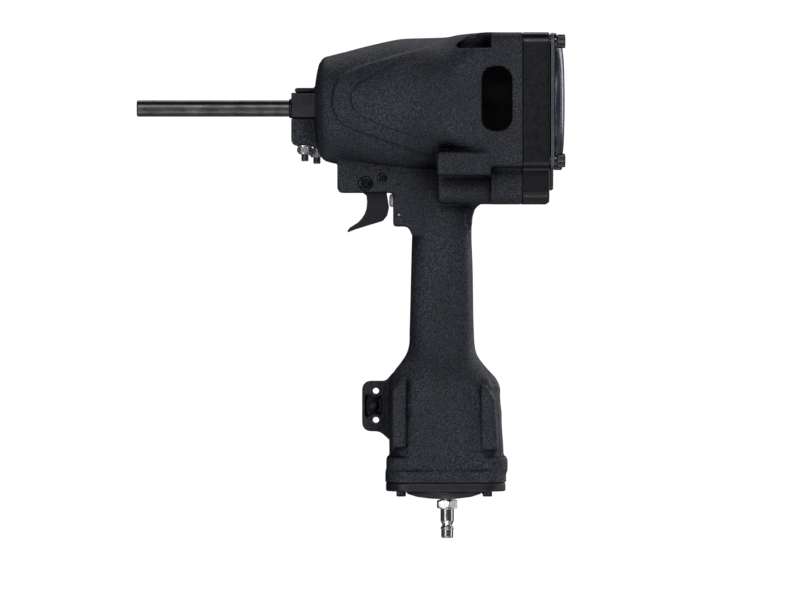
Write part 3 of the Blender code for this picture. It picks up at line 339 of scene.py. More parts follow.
def moulded(name, dark, light, smoothness, size_mm=0.8, depth_mm=0.01):
    """Moulded rubber or plastic with the spark-eroded skin of its mould: even and nearly matt.

    Spark erosion leaves pits under 0.1 mm. They are drawn about 1 mm across so that they show.
    """
    material, tree, place = new_material(name)
    skin = node(tree, "TexNoise", {
        "Vector": place, "Scale": per_metre(size_mm), "Detail": 2.0, "Roughness": 0.5})
    colour = node(tree, "ValToRGB", {"Fac": skin}, stops=((0.3, dark), (0.7, light)))
    roughness = node(tree, "MapRange", {
        "Value": skin, "From Min": 0.3, "From Max": 0.7,
        "To Min": smoothness + 0.04, "To Max": smoothness - 0.04})
    height = node(tree, "MapRange", {
        "Value": skin, "From Min": 0.3, "From Max": 0.7, "To Min": 0.0, "To Max": depth_mm * MM})
    normal = node(tree, "Bump", {"Strength": 1.0, "Distance": 1.0, "Height": height})
    shader = node(tree, "BsdfPrincipled", {
        "Base Color": colour, "Roughness": roughness, "IOR": 1.49, "Normal": normal})
    node(tree, "OutputMaterial", {"Surface": shader})
    return material


def blank_badge():
    """Poured black resin, set to a dome over a plain label: almost a mirror, a trace of ripple."""
    material, tree, place = new_material("domed_black_resin")
    ripple = node(tree, "TexNoise", {
        "Vector": place, "Scale": per_metre(14.0), "Detail": 1.0, "Roughness": 0.5})
    colour = node(tree, "ValToRGB", {"Fac": ripple}, stops=((0.3, "#050506"), (0.7, "#0a0a0c")))
    roughness = node(tree, "MapRange", {
        "Value": ripple, "From Min": 0.3, "From Max": 0.7, "To Min": 0.10, "To Max": 0.16})
    height = node(tree, "MapRange", {
        "Value": ripple, "From Min": 0.3, "From Max": 0.7, "To Min": 0.0, "To Max": 0.02 * MM})
    normal = node(tree, "Bump", {"Strength": 1.0, "Distance": 1.0, "Height": height})
    shader = node(tree, "BsdfPrincipled", {
        "Base Color": colour, "Roughness": roughness, "IOR": 1.52,
        "Coat Weight": 0.5, "Coat Roughness": 0.05, "Normal": normal})
    node(tree, "OutputMaterial", {"Surface": shader})
    return material


FINISH = {
    "black_casting": textured_casting(),
    # Baked on the smooth rear cap: the deepest black, with a broad soft sheen
    "black_cap": satin_enamel("satin_black_enamel", "#050608", "#090a0d", 0.36, 2.4, 0.006),
    # Painted sheen: the sheet is coloured a flat mid grey, so that its thin edge shows as the light
    # line of a sheen
    "black_plate": satin_enamel("painted_sheen_grey_plate", "#4c4f56", "#5d6069", 0.4, 0.7, 0.006),
    "black_cover": pressed_cover(),
    "black_fastener": oxide_fastener(),
    # Pressed nitrile seals and gaskets: matt, just off black
    "rubber": moulded("black_nitrile_rubber", "#0e0e0f", "#17171a", 0.72),
    # Lathe-turned aluminium: pale grey with fine rings round it
    "bare_aluminium": drawn_metal("turned_aluminium", "#b4b7bb", "#cdd0d3", 0.32, "Y"),
    # Cold-drawn spring wire: mid grey with a light along each coil
    "spring_steel": drawn_metal("drawn_spring_steel", "#8f9093", "#b0b1b4", 0.26, "X"),
    # Moulded black acetal: dark, waxy
    "valve_plastic": moulded("black_acetal", "#141416", "#1f2023", 0.4),
    # Turned white acetal stem: warm white, waxy
    "white_plastic": moulded("white_acetal", "#d9d8d3", "#eceae6", 0.38, 1.2, 0.004),
    # Drawn steel tube, chemically blackened: warm dark grey with streaks along it
    "dark_steel": drawn_metal("blackened_steel", "#4d4a49", "#6b6867", 0.34, "X", 0.5, 0.004),
    # Bright zinc plate over machined steel: cold silver, crisp glints
    "zinc_steel": drawn_metal(
        "bright_zinc_plate", "#c6c7c9", "#e2e2e2", 0.22, "Z", 0.5, 0.003, 0.8),
    # Nickel plate over turned brass or steel: warm silver, the brightest glints on the tool
    "bright_plating": drawn_metal(
        "nickel_plate", "#c6c6c5", "#dddcda", 0.15, "Z", 0.5, 0.0015, 0.88),
    "gloss_badge": blank_badge(),
}
# Baked enamel over the cast trigger: black with a satin edge light
TRIGGER_FINISH = satin_enamel("satin_black_trigger", "#0f0f12", "#15161a", 0.36, 0.6, 0.006)
# Zinc plate dulled on the rolled threads of the clamp studs: grey between bright nuts
STUD_FINISH = drawn_metal("dull_zinc_plate", "#77787a", "#97989a", 0.3, "Z", 0.5, 0.003, 0.9)
# Baked enamel over the cast base cap, softer than the rear cap's; its greyer colour is a painted
# sheen, a lit copy of the same black
SHEEN_LIT_BASE_FINISH = satin_enamel("sheen_lit_black_base", "#1a1b20", "#25262c", 0.44, 0.9, 0.01)
# Steel ground flat and blackened: dark grey, its grinding marks upright
BLOCK_FINISH = drawn_metal("ground_blackened_block", "#363438", "#48454a", 0.44, "Z", 0.7, 0.004)


# ------------------------------------------------------------------ shapes

def rounded(corners, step_deg=7.5):
    """An outline from (u, v, radius) corners, with an arc at each corner that has a radius."""
    outline = []
    for index, (u, v, radius) in enumerate(corners):
        if radius <= 0:
            outline.append((u, v))
            continue
        before = corners[index - 1]
        after = corners[(index + 1) % len(corners)]
        to_before = math.atan2(before[1] - v, before[0] - u)
        to_after = math.atan2(after[1] - v, after[0] - u)
        opening = (to_after - to_before + math.pi) % (2 * math.pi) - math.pi
        away = radius / math.sin(abs(opening) / 2)
        reach = radius / math.tan(abs(opening) / 2)
        bisector = to_before + opening / 2
        centre = (u + away * math.cos(bisector), v + away * math.sin(bisector))
        first = (u + reach * math.cos(to_before), v + reach * math.sin(to_before))
        start = math.atan2(first[1] - centre[1], first[0] - centre[0])
        sweep = -math.copysign(math.pi - abs(opening), opening)
        steps = max(2, math.ceil(abs(math.degrees(sweep)) / step_deg))
        for part in range(steps + 1):
            angle = start + sweep * part / steps
            spot = (centre[0] + radius * math.cos(angle), centre[1] + radius * math.sin(angle))
            outline.append(spot)
    return outline


def box_outline(u0, u1, v0, v1, radius=0.0):
    """A rectangle with round corners."""
    return rounded([(u0, v0, radius), (u1, v0, radius), (u1, v1, radius), (u0, v1, radius)])


def circle(u, v, radius, steps=48):
    """A round outline."""
    angles = [2 * math.pi * step / steps for step in range(steps)]
    return [(u + radius * math.cos(angle), v + radius * math.sin(angle)) for angle in angles]


def cap_outline(inset=0.0):
    """The rear outline of the head, as y, z: wide over the cylinder, narrower over the chamber."""
    half = 49.5 - inset
    chamber = 38.0 - inset
    side = [(half, 183.2 - inset, 8.0 - inset), (half, 85.8 + inset, 4.0 - inset)]
    side += [(chamber, 85.8 + inset, 3.0), (chamber, 59.9 + inset, 9.0 - inset)]
    return rounded(side + [(-y, z, radius) for y, z, radius in reversed(side)])


def in_space(axis, along, u, v):
    """The point that lies along an axis by one number and across it by two."""
    return {"X": (along, u, v), "Y": (u, along, v), "Z": (u, v, along)}[axis]


def piece(name, points, faces):
    """A closed object from points in mm, with its origin at the frame's origin."""
    mesh = bpy.data.meshes.new(name)
    mesh.from_pydata([tuple(value * MM for value in point) for point in points], [], faces)
    work = bmesh.new()
    work.from_mesh(mesh)
    bmesh.ops.recalc_face_normals(work, faces=work.faces)
    work.to_mesh(mesh)
    work.free()
    obj = bpy.data.objects.new(name, mesh)
    bpy.context.scene.collection.objects.link(obj)
    return obj


def skinned(name, rings):
    """A closed body through rings of equal count, its two ends filled."""
    count = len(rings[0])
    faces = [tuple(range(count)), tuple(range((len(rings) - 1) * count, len(rings) * count))]
    for row in range(len(rings) - 1):
        for index in range(count):
            after = (index + 1) % count
            low = row * count
            faces.append((low + index, low + after, low + count + after, low + count + index))
    return piece(name, [point for ring in rings for point in ring], faces)


def slab(name, outline, axis, start, end, edge=0.0, segments=3):
    """A flat body with its long edges rounded off."""
    rings = [[in_space(axis, along, u, v) for u, v in outline] for along in (start, end)]
    obj = skinned(name, rings)
    if edge:
        bevel = obj.modifiers.new("edges", "BEVEL")
        bevel.width = edge * MM
        bevel.segments = segments
        bevel.limit_method = "ANGLE"
        bevel.angle_limit = math.radians(40.0)
    return obj


def hexagon(angle, corner):
    """The radius at an angle of a hexagon whose corners lie on a circle of radius corner."""
    sector = (angle + math.pi / 6) % (math.pi / 3) - math.pi / 6
    return corner * math.cos(math.pi / 6) / math.cos(sector)


def ring_radius(form, radius, angle):
    """The radius at an angle of a ring: round, hexagonal, knurled, or round cut to a hexagon.

    The form is "round", "hex", "knurl", or the corner radius of the hexagon that cuts it.
    """
    if form == "hex":
        return hexagon(angle, radius)
    if form == "knurl":
        return radius - 0.22 * (0.5 - 0.5 * math.cos(32 * angle))
    if isinstance(form, float):
        return min(radius, hexagon(angle, form))
    return radius


def turned(name, rows, axis, centre, steps=96, loop=False, turn=0.0):
    """A turned body from rows of radius, place along the axis and, where not round, its form.

    With loop, the last row joins the first, for a ring or a body with a bore.
    """
    points = []
    starts = []
    for radius, along, *form in rows:
        starts.append(len(points))
        if radius == 0.0:
            points.append(in_space(axis, along, *centre))
            continue
        for step in range(steps):
            angle = 2 * math.pi * step / steps
            reach = ring_radius(form[0] if form else "round", radius, angle)
            u = centre[0] + reach * math.cos(angle + turn)
            v = centre[1] + reach * math.sin(angle + turn)
            points.append(in_space(axis, along, u, v))
    faces = []
    for row in range(len(rows) if loop else len(rows) - 1):
        low = starts[row]
        high = starts[(row + 1) % len(rows)]
        flat_low = rows[row][0] == 0.0
        flat_high = rows[(row + 1) % len(rows)][0] == 0.0
        for index in range(steps):
            after = (index + 1) % steps
            corners = [low] if flat_low else [low + index, low + after]
            corners += [high] if flat_high else [high + after, high + index]
            faces.append(corners)
    return piece(name, points, faces)


def softened(rows, radius=0.3, loop=False):
    """The profile with each of its corners rounded a little, apart from those on the axis."""
    made = []
    for index, row in enumerate(rows):
        ends = index in (0, len(rows) - 1) and not loop
        if ends or row[0] == 0.0 or len(row) > 2:
            made.append(row)
            continue
        here = Vector(row[:2])
        before = Vector(rows[index - 1][:2]) - here
        after = Vector(rows[(index + 1) % len(rows)][:2]) - here
        cut = min(radius, before.length * 0.4, after.length * 0.4)
        first = here + before.normalized() * cut
        last = here + after.normalized() * cut
        for part in (0.0, 0.33, 0.67, 1.0):
            near = first.lerp(here, part)
            made.append(tuple(near.lerp(here.lerp(last, part), part)))
    return made


def thread(radius, pitch, depth, start, end):
    """Rows for a screw thread, drawn as V-shaped rings a pitch apart."""
    rows_a_pitch = 6
    count = int(abs(end - start) / pitch * rows_a_pitch)
    rows = []
    for step in range(count + 1):
        along = start + (end - start) * step / count
        wave = abs((step % rows_a_pitch) / (rows_a_pitch / 2) - 1.0)
        rows.append((radius - depth * wave, along))
    return rows


def cut_out(obj, *cutters):
    """Takes the cutters out of the object with one exact Boolean, and removes them."""
    group = bpy.data.collections.new(obj.name + "_cutters")
    for cutter in cutters:
        group.objects.link(cutter)
    modifier = obj.modifiers.new("cut", "BOOLEAN")
    modifier.operation = "DIFFERENCE"
    modifier.solver = "EXACT"
    modifier.operand_type = "COLLECTION"
    modifier.collection = group
    settle(obj)
    for cutter in cutters:
        bpy.data.objects.remove(cutter)
    bpy.data.collections.remove(group)


def settle(obj):
    """Makes the object's modifiers part of its mesh."""
    graph = bpy.context.evaluated_depsgraph_get()
    mesh = bpy.data.meshes.new_from_object(obj.evaluated_get(graph))
    obj.modifiers.clear()
    obj.data = mesh


def joined(name, objects):
    """One object from the meshes of several."""
    work = bmesh.new()
    for obj in objects:
        settle(obj)
        work.from_mesh(obj.data)
    mesh = bpy.data.meshes.new(name)
    work.to_mesh(mesh)
    work.free()
    for obj in objects:
        bpy.data.objects.remove(obj)
    made = bpy.data.objects.new(name, mesh)
    bpy.context.scene.collection.objects.link(made)
    return made


def finished(obj, slot, body="tool", stands_for=(), material=None, sharp_deg=32.0):
    """Settles the mesh, shades it, gives it its finish and puts it on its body."""
    settle(obj)
    obj.data.shade_smooth()
    obj.data.set_sharp_from_angle(angle=math.radians(sharp_deg))
    if len(obj.data.polygons) < FINE_SKIN_FACES:
        even = obj.modifiers.new("flat_faces", "WEIGHTED_NORMAL")
        even.keep_sharp = True
        even.weight = 80
        settle(obj)
    obj.data.materials.clear()
    obj.data.materials.append(material or FINISH[slot])
    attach(obj, body)
    if stands_for:
        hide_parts(*stands_for)


# ------------------------------------------------------------------ housing

def between(rows, places):
    """The columns of a table at each place, on smooth curves through its rows."""
    keys = rows[:, 0]
    spans = np.diff(keys)[:, None]
    rises = np.diff(rows[:, 1:], axis=0) / spans
    slopes = np.vstack([rises[:1], (rises[1:] + rises[:-1]) / 2, rises[-1:]])
    slopes[1:-1][rises[1:] * rises[:-1] <= 0] = 0
    index = np.clip(np.searchsorted(keys, places) - 1, 0, len(keys) - 2)
    span = spans[index]
    t = np.clip((places - keys[index])[:, None] / span, 0, 1)
    start = rows[index, 1:]
    end = rows[index + 1, 1:]
    curve = start * (2 * t**3 - 3 * t**2 + 1) + end * (3 * t**2 - 2 * t**3)
    leaving = slopes[index] * (t**3 - 2 * t**2 + t)
    arriving = slopes[index + 1] * (t**3 - t**2)
    return curve + span * (leaving + arriving)


def oval_pull(across, up, half_across, half_up, power):
    """How far to scale a point from the middle so that it lies on the oval, and its distance."""
    size = (np.abs(across / half_across) ** power + np.abs(up / half_up) ** power) ** (1 / power)
    size = np.maximum(size, 0.01)
    distance = np.hypot(across, up) * (size - 1) / size
    return 1 / size, distance


def keep_to_form(places, normals):
    """Pulls the points that lie near the true barrel or grip onto it, so that no facet shows.

    The pull is full within 0.4 or 0.5 mm of the form, where the skin faces squarely outwards,
    and fades to none by 0.8 or 0.9 mm, so that bosses, cheeks and ribs keep their own shape.
    It returns how far each point belongs to the barrel.
    """
    top, bottom, half, power = between(BARREL, places[:, 0]).T
    middle = (top + bottom) / 2
    up = places[:, 2] - middle
    pull, distance = oval_pull(places[:, 1], up, half, (top - bottom) / 2, power)
    outward = np.stack([places[:, 1], up], axis=1) / np.hypot(places[:, 1], up)[:, None]
    facing = (outward * normals[:, 1:]).sum(axis=1)
    weight = np.clip((0.9 - np.abs(distance)) / 0.4, 0, 1) * np.clip((facing - 0.75) / 0.15, 0, 1)
    weight *= np.clip((places[:, 0] + 21) / 4, 0, 1) * np.clip((100.5 - places[:, 0]) / 2, 0, 1)
    scale = 1 + (pull - 1) * weight
    places[:, 1] *= scale
    places[:, 2] = middle + up * scale
    on_barrel = weight

    front, rear, half, power = between(GRIP, places[:, 2]).T
    middle = (front + rear) / 2
    along = places[:, 0] - middle
    pull, distance = oval_pull(places[:, 1], along, half, (rear - front) / 2, power)
    outward = np.stack([along, places[:, 1]], axis=1) / np.hypot(along, places[:, 1])[:, None]
    facing = (outward * normals[:, :2]).sum(axis=1)
    weight = np.clip((0.8 - np.abs(distance)) / 0.4, 0, 1) * np.clip((facing - 0.6) / 0.15, 0, 1)
    weight *= np.clip((56 - places[:, 2]) / 4, 0, 1) * np.clip((places[:, 2] + 122) / 3, 0, 1)
    scale = 1 + (pull - 1) * weight
    places[:, 0] = middle + along * scale
    places[:, 1] *= scale
    return on_barrel


def step_distance(places, line):
    """Signed distance in mm from a step's line seen from the side, positive inside the loop."""
    spot = places[:, [0, 2]]
    nearest = np.full(len(spot), 1e9)
    inside = np.zeros(len(spot), bool)
    for first, last in zip(line, np.roll(line, -1, axis=0)):
        way = last - first
        if not (first[0] == STEP_REAR_X and last[0] == STEP_REAR_X):
            share = np.clip((spot - first) @ way / (way @ way), 0, 1)
            gap = np.linalg.norm(spot - first - share[:, None] * way, axis=1)
            nearest = np.minimum(nearest, gap)
        crosses = (first[1] > spot[:, 1]) != (last[1] > spot[:, 1])
        rise = way[1] if way[1] else 1e-9
        inside ^= crosses & (spot[:, 0] < first[0] + way[0] * (spot[:, 1] - first[1]) / rise)
    return np.where(inside, nearest, -nearest)


def store(mesh, name, values):
    """Keeps one number for each point of the mesh, for its material to read."""
    attribute = mesh.attributes.new(name, "FLOAT", "POINT")
    attribute.data.foreach_set("value", values.astype(np.float32))


def model_flanks(mesh):
    """Keeps the barrel and grip true, and raises the two cast steps on each flank."""
    count = len(mesh.vertices)
    places = np.empty(count * 3, np.float32)
    mesh.vertices.foreach_get("co", places)
    normals = np.empty(count * 3, np.float32)
    mesh.vertices.foreach_get("normal", normals)
    places = places.reshape(-1, 3).astype(float) / MM
    normals = normals.reshape(-1, 3).astype(float)
    on_barrel = keep_to_form(places, normals)
    for name, line, raised, _, dies_x in CAST_STEPS:
        distance = step_distance(places, line)
        fade = np.clip((dies_x - places[:, 0]) / 26, 0, 1) * on_barrel * (np.abs(places[:, 1]) > 12)
        lift = raised * np.tanh(distance / 0.9) * np.exp(-(distance / 9.0) ** 2) * fade
        places += normals * lift[:, None]
        store(mesh, name, np.clip(distance, -5, 5))
        store(mesh, name + "_fade", fade)
    mesh.vertices.foreach_set("co", (places * MM).astype(np.float32).ravel())


def trim(obj, point, normal):
    """Cuts the object off flat beyond a plane, and closes it."""
    work = bmesh.new()
    work.from_mesh(obj.data)
    place = Vector(point) * MM
    everything = work.verts[:] + work.edges[:] + work.faces[:]
    made = bmesh.ops.bisect_plane(
        work, geom=everything, plane_co=place, plane_no=normal, clear_outer=True)
    rim = [item for item in made["geom_cut"] if isinstance(item, bmesh.types.BMEdge)]
    bmesh.ops.holes_fill(work, edges=rim)
    work.to_mesh(obj.data)
    work.free()


def make_housing():
    """The casting: head, trigger housing, grip, flared air chamber, ribs and lug in one skin.

    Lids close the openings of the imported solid, a fine skin gives it cast radii all over, and
    the machined faces and holes are then cut again, so that their edges stay crisp.
    """
    cast = bpy.data.objects.new("cast_copy", NODES["housing"].data.copy())
    bpy.context.scene.collection.objects.link(cast)
    lids = [
        slab("rear_lid", cap_outline(), "X", 101.6, 129.0, 0.8),
        slab("base_lid", box_outline(25.3, 113.3, -33.5, 33.5, 18.0), "Z", -148.0, -134.2, 0.8),
        slab("base_band", box_outline(26.0, 114.4, -31.0, 31.0, 15.0), "Z", -136.0, -124.0, 2.2),
        slab("tube_lid", circle(0.0, BORE_Z, 7.0), "X", -16.0, -9.0),
        slab("valve_lid", circle(0.0, 62.3, 10.9), "X", 50.5, 56.0),
        slab("pivot_lid", circle(*PIVOT, 6.0), "Y", -CHEEK + 0.05, -CHEEK + 4.0),
        slab("stop_lid", circle(*STOP, 4.2), "Y", -CHEEK + 0.05, -CHEEK + 4.0),
        slab("pin_lid", circle(*ROLL_PIN, 2.0), "Y", -CHEEK + 0.05, CHEEK - 0.05),
        slab("vent_lid", circle(*VENT, 1.5), "Y", -CHEEK + 0.05, -CHEEK + 4.0),
    ]
    lids += [slab("eye_lid", circle(*place, 2.6), "Y", -5.9, 5.9) for place in LUG_HOLES]
    skin = joined("housing_skin", [cast, *lids])
    remesh = skin.modifiers.new("skin", "REMESH")
    remesh.mode = "VOXEL"
    remesh.voxel_size = SKIN_VOXEL * MM
    smooth = skin.modifiers.new("cast_radii", "SMOOTH")
    smooth.factor = 0.5
    smooth.iterations = SKIN_ROUNDS
    settle(skin)
    model_flanks(skin.data)
    trim(skin, (CAP_SEAM_X, 0, 0), (1, 0, 0))
    trim(skin, (0, 0, BASE_SEAM_Z), (0, 0, -1))
    head_side = -CHEEK - 1.0
    cutters = [
        slab("pivot_seat", circle(*PIVOT, PIVOT_SEAT, 64), "Y", head_side, -CHEEK + 2.2),
        slab("pivot_hole", circle(*PIVOT, PIVOT_HOLE), "Y", head_side, -CHEEK + 6.0),
        slab("stop_seat", circle(*STOP, STOP_SEAT), "Y", head_side, -CHEEK + 1.6),
        slab("stop_hole", circle(*STOP, STOP_HOLE), "Y", head_side, -CHEEK + 6.0),
        slab("pin_hole", circle(*ROLL_PIN, PIN_HOLE), "Y", -20.0, 20.0),
        slab("vent_hole", circle(*VENT, VENT_HOLE, 24), "Y", -20.0, -CHEEK + 5.0),
    ]
    cutters += [slab("lug_eye", circle(*place, LUG_EYE), "Y", -10.0, 10.0) for place in LUG_HOLES]
    cut_out(skin, *cutters)
    skin.name = "cast_housing"
    finished(skin, "black_casting", stands_for=["housing"], sharp_deg=50.0)


# ------------------------------------------------------------------ rear of the head

def make_cap():
    """The smooth rear cap, with a small chamfer at the seam and a round rear edge."""
    edge = 1.4
    edge_x = 142.8
    insets = [(124.8, 0.35), (125.15, 0.0), (edge_x, 0.0)]
    for degrees in (22, 45, 68, 90):
        turn = math.radians(degrees)
        insets.append((edge_x + edge * math.sin(turn), edge - edge * math.cos(turn)))
    rings = [[(x, y, z) for y, z in cap_outline(inset)] for x, inset in insets]
    finished(skinned("rear_cap", rings), "black_cap", stands_for=["cylinder_cap"], sharp_deg=40.0)


def make_exhaust_parts():
    """The thin plate behind the cap, with one exhaust port, and the dome pressed over it."""
    side = [(48.7, 182.8, 7.5), (48.7, 84.9, 7.0), (24.0, 84.9, 4.0), (19.0, 70.0, 3.0)]
    outline = rounded(side + [(-y, z, radius) for y, z, radius in reversed(side)])
    plate = slab("rear_plate", outline, "X", 145.0, 147.4, 0.4)
    cut_out(plate, slab("port", circle(0.0, COVER_Z, 26.0, 64), "X", 143.0, 149.0))
    finished(plate, "black_plate", stands_for=["exhaust_plate"])
    rows = [(0.0, 155.9), (18.0, 155.8), (34.0, 155.2), (43.0, 154.1), (46.4, 152.5)]
    rows += [(48.0, 149.5), (48.0, 147.6), (46.0, 147.6), (45.4, 150.5), (42.0, 152.3)]
    rows += [(30.0, 153.5), (0.0, 153.9)]
    cover = turned("domed_cover", softened(rows, 1.6), "X", (0.0, COVER_Z), 160)
    finished(cover, "black_cover", stands_for=["exhaust_cover"], sharp_deg=50.0)


def make_cap_bolts():
    """Four M6 socket screws with knurled heads and hexagon sockets, each on a plain washer."""
    for number, place in enumerate(CAP_BOLT_PLACES, 1):
        rows = [(0.0, 152.0), (1.4, 152.1), (2.88, 152.6, "hex"), (2.88, 154.9, "hex")]
        rows += [(3.35, 155.45), (4.1, 155.5), (4.55, 155.42), (4.85, 155.1)]
        rows += [(5.0, 154.7, "knurl"), (5.0, 150.2, "knurl"), (4.78, 149.8), (4.6, 149.3)]
        rows += [(2.95, 149.3), (2.95, 106.8), (2.1, 106.0), (0.0, 106.0)]
        bolt = turned(f"socket_bolt_{number}", rows, "X", place, 192)
        finished(bolt, "black_fastener", stands_for=[f"cap_bolt_{number}"])
        ring = [(6.0, 149.1), (6.0, 147.5), (3.25, 147.5), (3.25, 149.1)]
        washer = turned(f"cap_ring_{number}", softened(ring, 0.25, True), "X", place, 64, loop=True)
        finished(washer, "black_fastener", stands_for=[f"cap_washer_{number}"])


def make_badges():
    """A blank plate with round ends on each flank."""
    outline = box_outline(94.4, 117.2, 111.0, 159.0, 10.8)
    for name, node_name, side in (("near_plate", "badge_near", -1), ("far_plate", "badge_far", 1)):
        badge = slab(name, outline, "Y", side * 49.0, side * 49.85, 0.25)
        finished(badge, "gloss_badge", stands_for=[node_name])


# ------------------------------------------------------------------ nose

def make_nose():
    """The long tube that drops over the nail, and the block and collar that clamp it."""
    rows = [(6.0, -9.0), (6.0, -155.3), (5.3, -156.0), (3.8, -156.0), (3.5, -155.5), (3.5, -9.0)]
    tube = turned("nail_tube", softened(rows, 0.25, True), "X", (0.0, BORE_Z), 96, loop=True)
    finished(tube, "dark_steel", stands_for=["nose_tube"])
    block = slab("clamp_block", box_outline(-12.9, 12.9, 122.6, 140.6), "X", -43.1, -14.3, 0.9, 4)
    collar = [(6.3, -40.0), (6.7, -40.0), (7.2, -43.6), (7.2, -44.2), (6.5, -44.9), (6.3, -44.9)]
    ring = turned("block_collar", softened(collar, 0.2, True), "X", (0.0, BORE_Z), 96, loop=True)
    cut_out(block, slab("block_bore", circle(0.0, BORE_Z, 6.12, 96), "X", -60.0, 0.0))
    clamp = joined("nose_clamp_block", [block, ring])
    finished(clamp, "dark_steel", stands_for=["nose_block"], material=BLOCK_FINISH)


def make_nose_clamps():
    """Two M6 studs with hexagon sockets in their tips, each with a washer and a collared nut."""
    for number, (x, y, seat, tip) in enumerate(NOSE_CLAMPS, 1):
        rows = [(0.0, tip + 3.0), (1.68, tip + 3.0, "hex"), (1.68, tip + 0.4, "hex")]
        rows += [(2.0, tip), (2.3, tip)] + thread(2.9, 1.0, 0.5, tip + 0.4, seat + 2.0)
        rows += [(2.9, 119.0), (0.0, 119.0)]
        stud = turned(f"clamp_stud_{number}", rows, "Z", (x, y), 48)
        finished(stud, "zinc_steel", "tool", [f"nose_clamp_screw_{number}"], STUD_FINISH, 25.0)
        ring = [(5.6, seat - 0.15), (5.6, seat - 1.35), (3.2, seat - 1.35), (3.2, seat - 0.15)]
        ring = softened(ring, 0.25, True)
        washer = turned(f"clamp_ring_{number}", ring, "Z", (x, y), 64, loop=True)
        finished(washer, "zinc_steel", stands_for=[f"nose_washer_{number}"])
        low = seat - 6.6
        high = seat - 1.5
        corner = 10.0 / math.sqrt(3)
        rows = [(3.05, high), (4.85, high), (5.2, high - 0.2, corner), (5.55, high - 0.55, corner)]
        rows += [(corner + 0.1, high - 0.9, corner), (corner + 0.1, low + 1.7, corner)]
        rows += [(5.4, low + 1.3, corner), (4.6, low + 1.0), (4.55, low + 0.35), (4.2, low)]
        rows += [(3.3, low), (3.05, low + 0.3)]
        nut = turned(f"clamp_nut_{number}", rows, "Z", (x, y), 96, loop=True, turn=math.pi / 2)
        finished(nut, "zinc_steel", stands_for=[f"nose_lock_nut_{number}"], sharp_deg=25.0)


# ------------------------------------------------------------------ trigger

def make_trigger():
    """The cast trigger: a curled blade under a broad arm that turns on the pivot screw."""
    corners = [(26.3, 68.5, 2.0), (28.1, 57.4, 2.5), (26.9, 51.6, 2.5), (23.6, 47.4, 3.0)]
    corners += [(9.7, 43.2, 0), (3.4, 41.2, 0), (-2.1, 39.1, 0.4), (-2.4, 39.8, 0.3)]
    corners += [(-0.7, 42.4, 0), (2.5, 44.4, 0), (5.55, 46.4, 0), (8.2, 49.2, 0)]
    corners += [(10.2, 52.4, 0), (11.5, 56.0, 0), (12.0, 61.0, 0), (11.6, 66.0, 2.0)]
    corners += [(5.2, 70.5, 2.5), (4.6, 78.5, 4.0), (16.0, 80.6, 3.0), (19.5, 74.4, 2.5)]
    corners.append((24.6, 73.4, 2.0))
    lever = slab("trigger_blade", rounded(corners), "Y", -7.0, 7.0, 1.1, 4)
    mark = slab("ejector_mark", circle(19.9, 49.6, 1.1, 32), "Y", -9.0, -6.75)
    cut_out(lever, slab("eye", circle(*PIVOT, PIVOT_HOLE), "Y", -12.0, 12.0), mark)
    finished(lever, "black_cap", "trigger_lever", ["trigger"], TRIGGER_FINISH, 40.0)


def cross_recess(name, place, reach, width, depth_from, depth_to):
    """Two crossed slots that narrow towards the floor of the recess."""
    slots = []
    for number, (u, v) in enumerate(((reach, width), (width, reach))):
        rings = []
        for along, size in ((depth_from, 1.15), (depth_to, 0.6)):
            corners = ((-u, -v), (u, -v), (u, v), (-u, v))
            ring = [(place[0] + a * size, along, place[1] + b * size) for a, b in corners]
            rings.append(ring)
        slots.append(skinned(f"{name}_{number}", rings))
    return slots


def make_trigger_screws():
    """The pivot screw with its nut, and the smaller stop screw, both with cross recesses."""
    head = -CHEEK + 2.0
    rows = [(0.0, 16.4), (2.0, 16.4), (2.5, 15.9), (2.5, head), (5.05, head), (5.05, head - 1.9)]
    rows += [(4.4, head - 2.5), (0.0, head - 2.5)]
    pin = turned("pivot_screw", softened(rows, 0.3), "Y", PIVOT, 96)
    cut_out(pin, *cross_recess("cross", PIVOT, 2.6, 0.6, head - 2.8, head - 1.0))
    finished(pin, "black_fastener", stands_for=["trigger_pin"])
    corner = 5.0
    rows = [(2.65, 14.2), (4.2, 14.2), (4.6, 14.3, corner), (5.1, 14.8, corner)]
    rows += [(5.1, 17.0, corner), (4.6, 17.5, corner), (4.2, 17.6), (2.9, 17.6), (2.65, 17.3)]
    nut = turned("pivot_nut", rows, "Y", PIVOT, 96, loop=True)
    finished(nut, "black_fastener", stands_for=["trigger_pin_nut"], sharp_deg=25.0)
    head = -CHEEK + 1.4
    rows = [(0.0, 15.5), (1.2, 15.5), (1.5, 15.2), (1.5, head), (3.4, head), (3.4, head - 1.2)]
    rows += [(2.8, head - 1.7), (0.0, head - 1.7)]
    screw = turned("stop_screw", softened(rows, 0.25), "Y", STOP, 72)
    cut_out(screw, *cross_recess("cross", STOP, 1.7, 0.4, head - 1.9, head - 0.7))
    finished(screw, "black_fastener", stands_for=["trigger_stop_screw"])


def make_valve_parts():
    """The white stem that the trigger presses, and the roll pin that holds its valve."""
    rows = [(0.0, 47.0), (1.6, 47.0), (1.6, 43.2), (5.9, 43.2), (5.9, 40.6), (4.7, 40.6)]
    rows += [(4.7, 29.2), (3.2, 28.3), (0.0, 28.15)]
    stem = turned("white_stem", softened(rows, 0.35), "X", (0.0, 62.3), 64)
    finished(stem, "white_plastic", "trigger_plunger", ["trigger_valve_plunger"])
    rows = [(1.1, 16.5), (0.85, 16.8), (0.5, 16.8), (0.5, -16.8), (0.85, -16.8), (1.1, -16.5)]
    pin = turned("roll_pin", rows, "Y", ROLL_PIN, 40, loop=True)
    finished(pin, "zinc_steel", stands_for=["valve_roll_pin"])


# ------------------------------------------------------------------ base

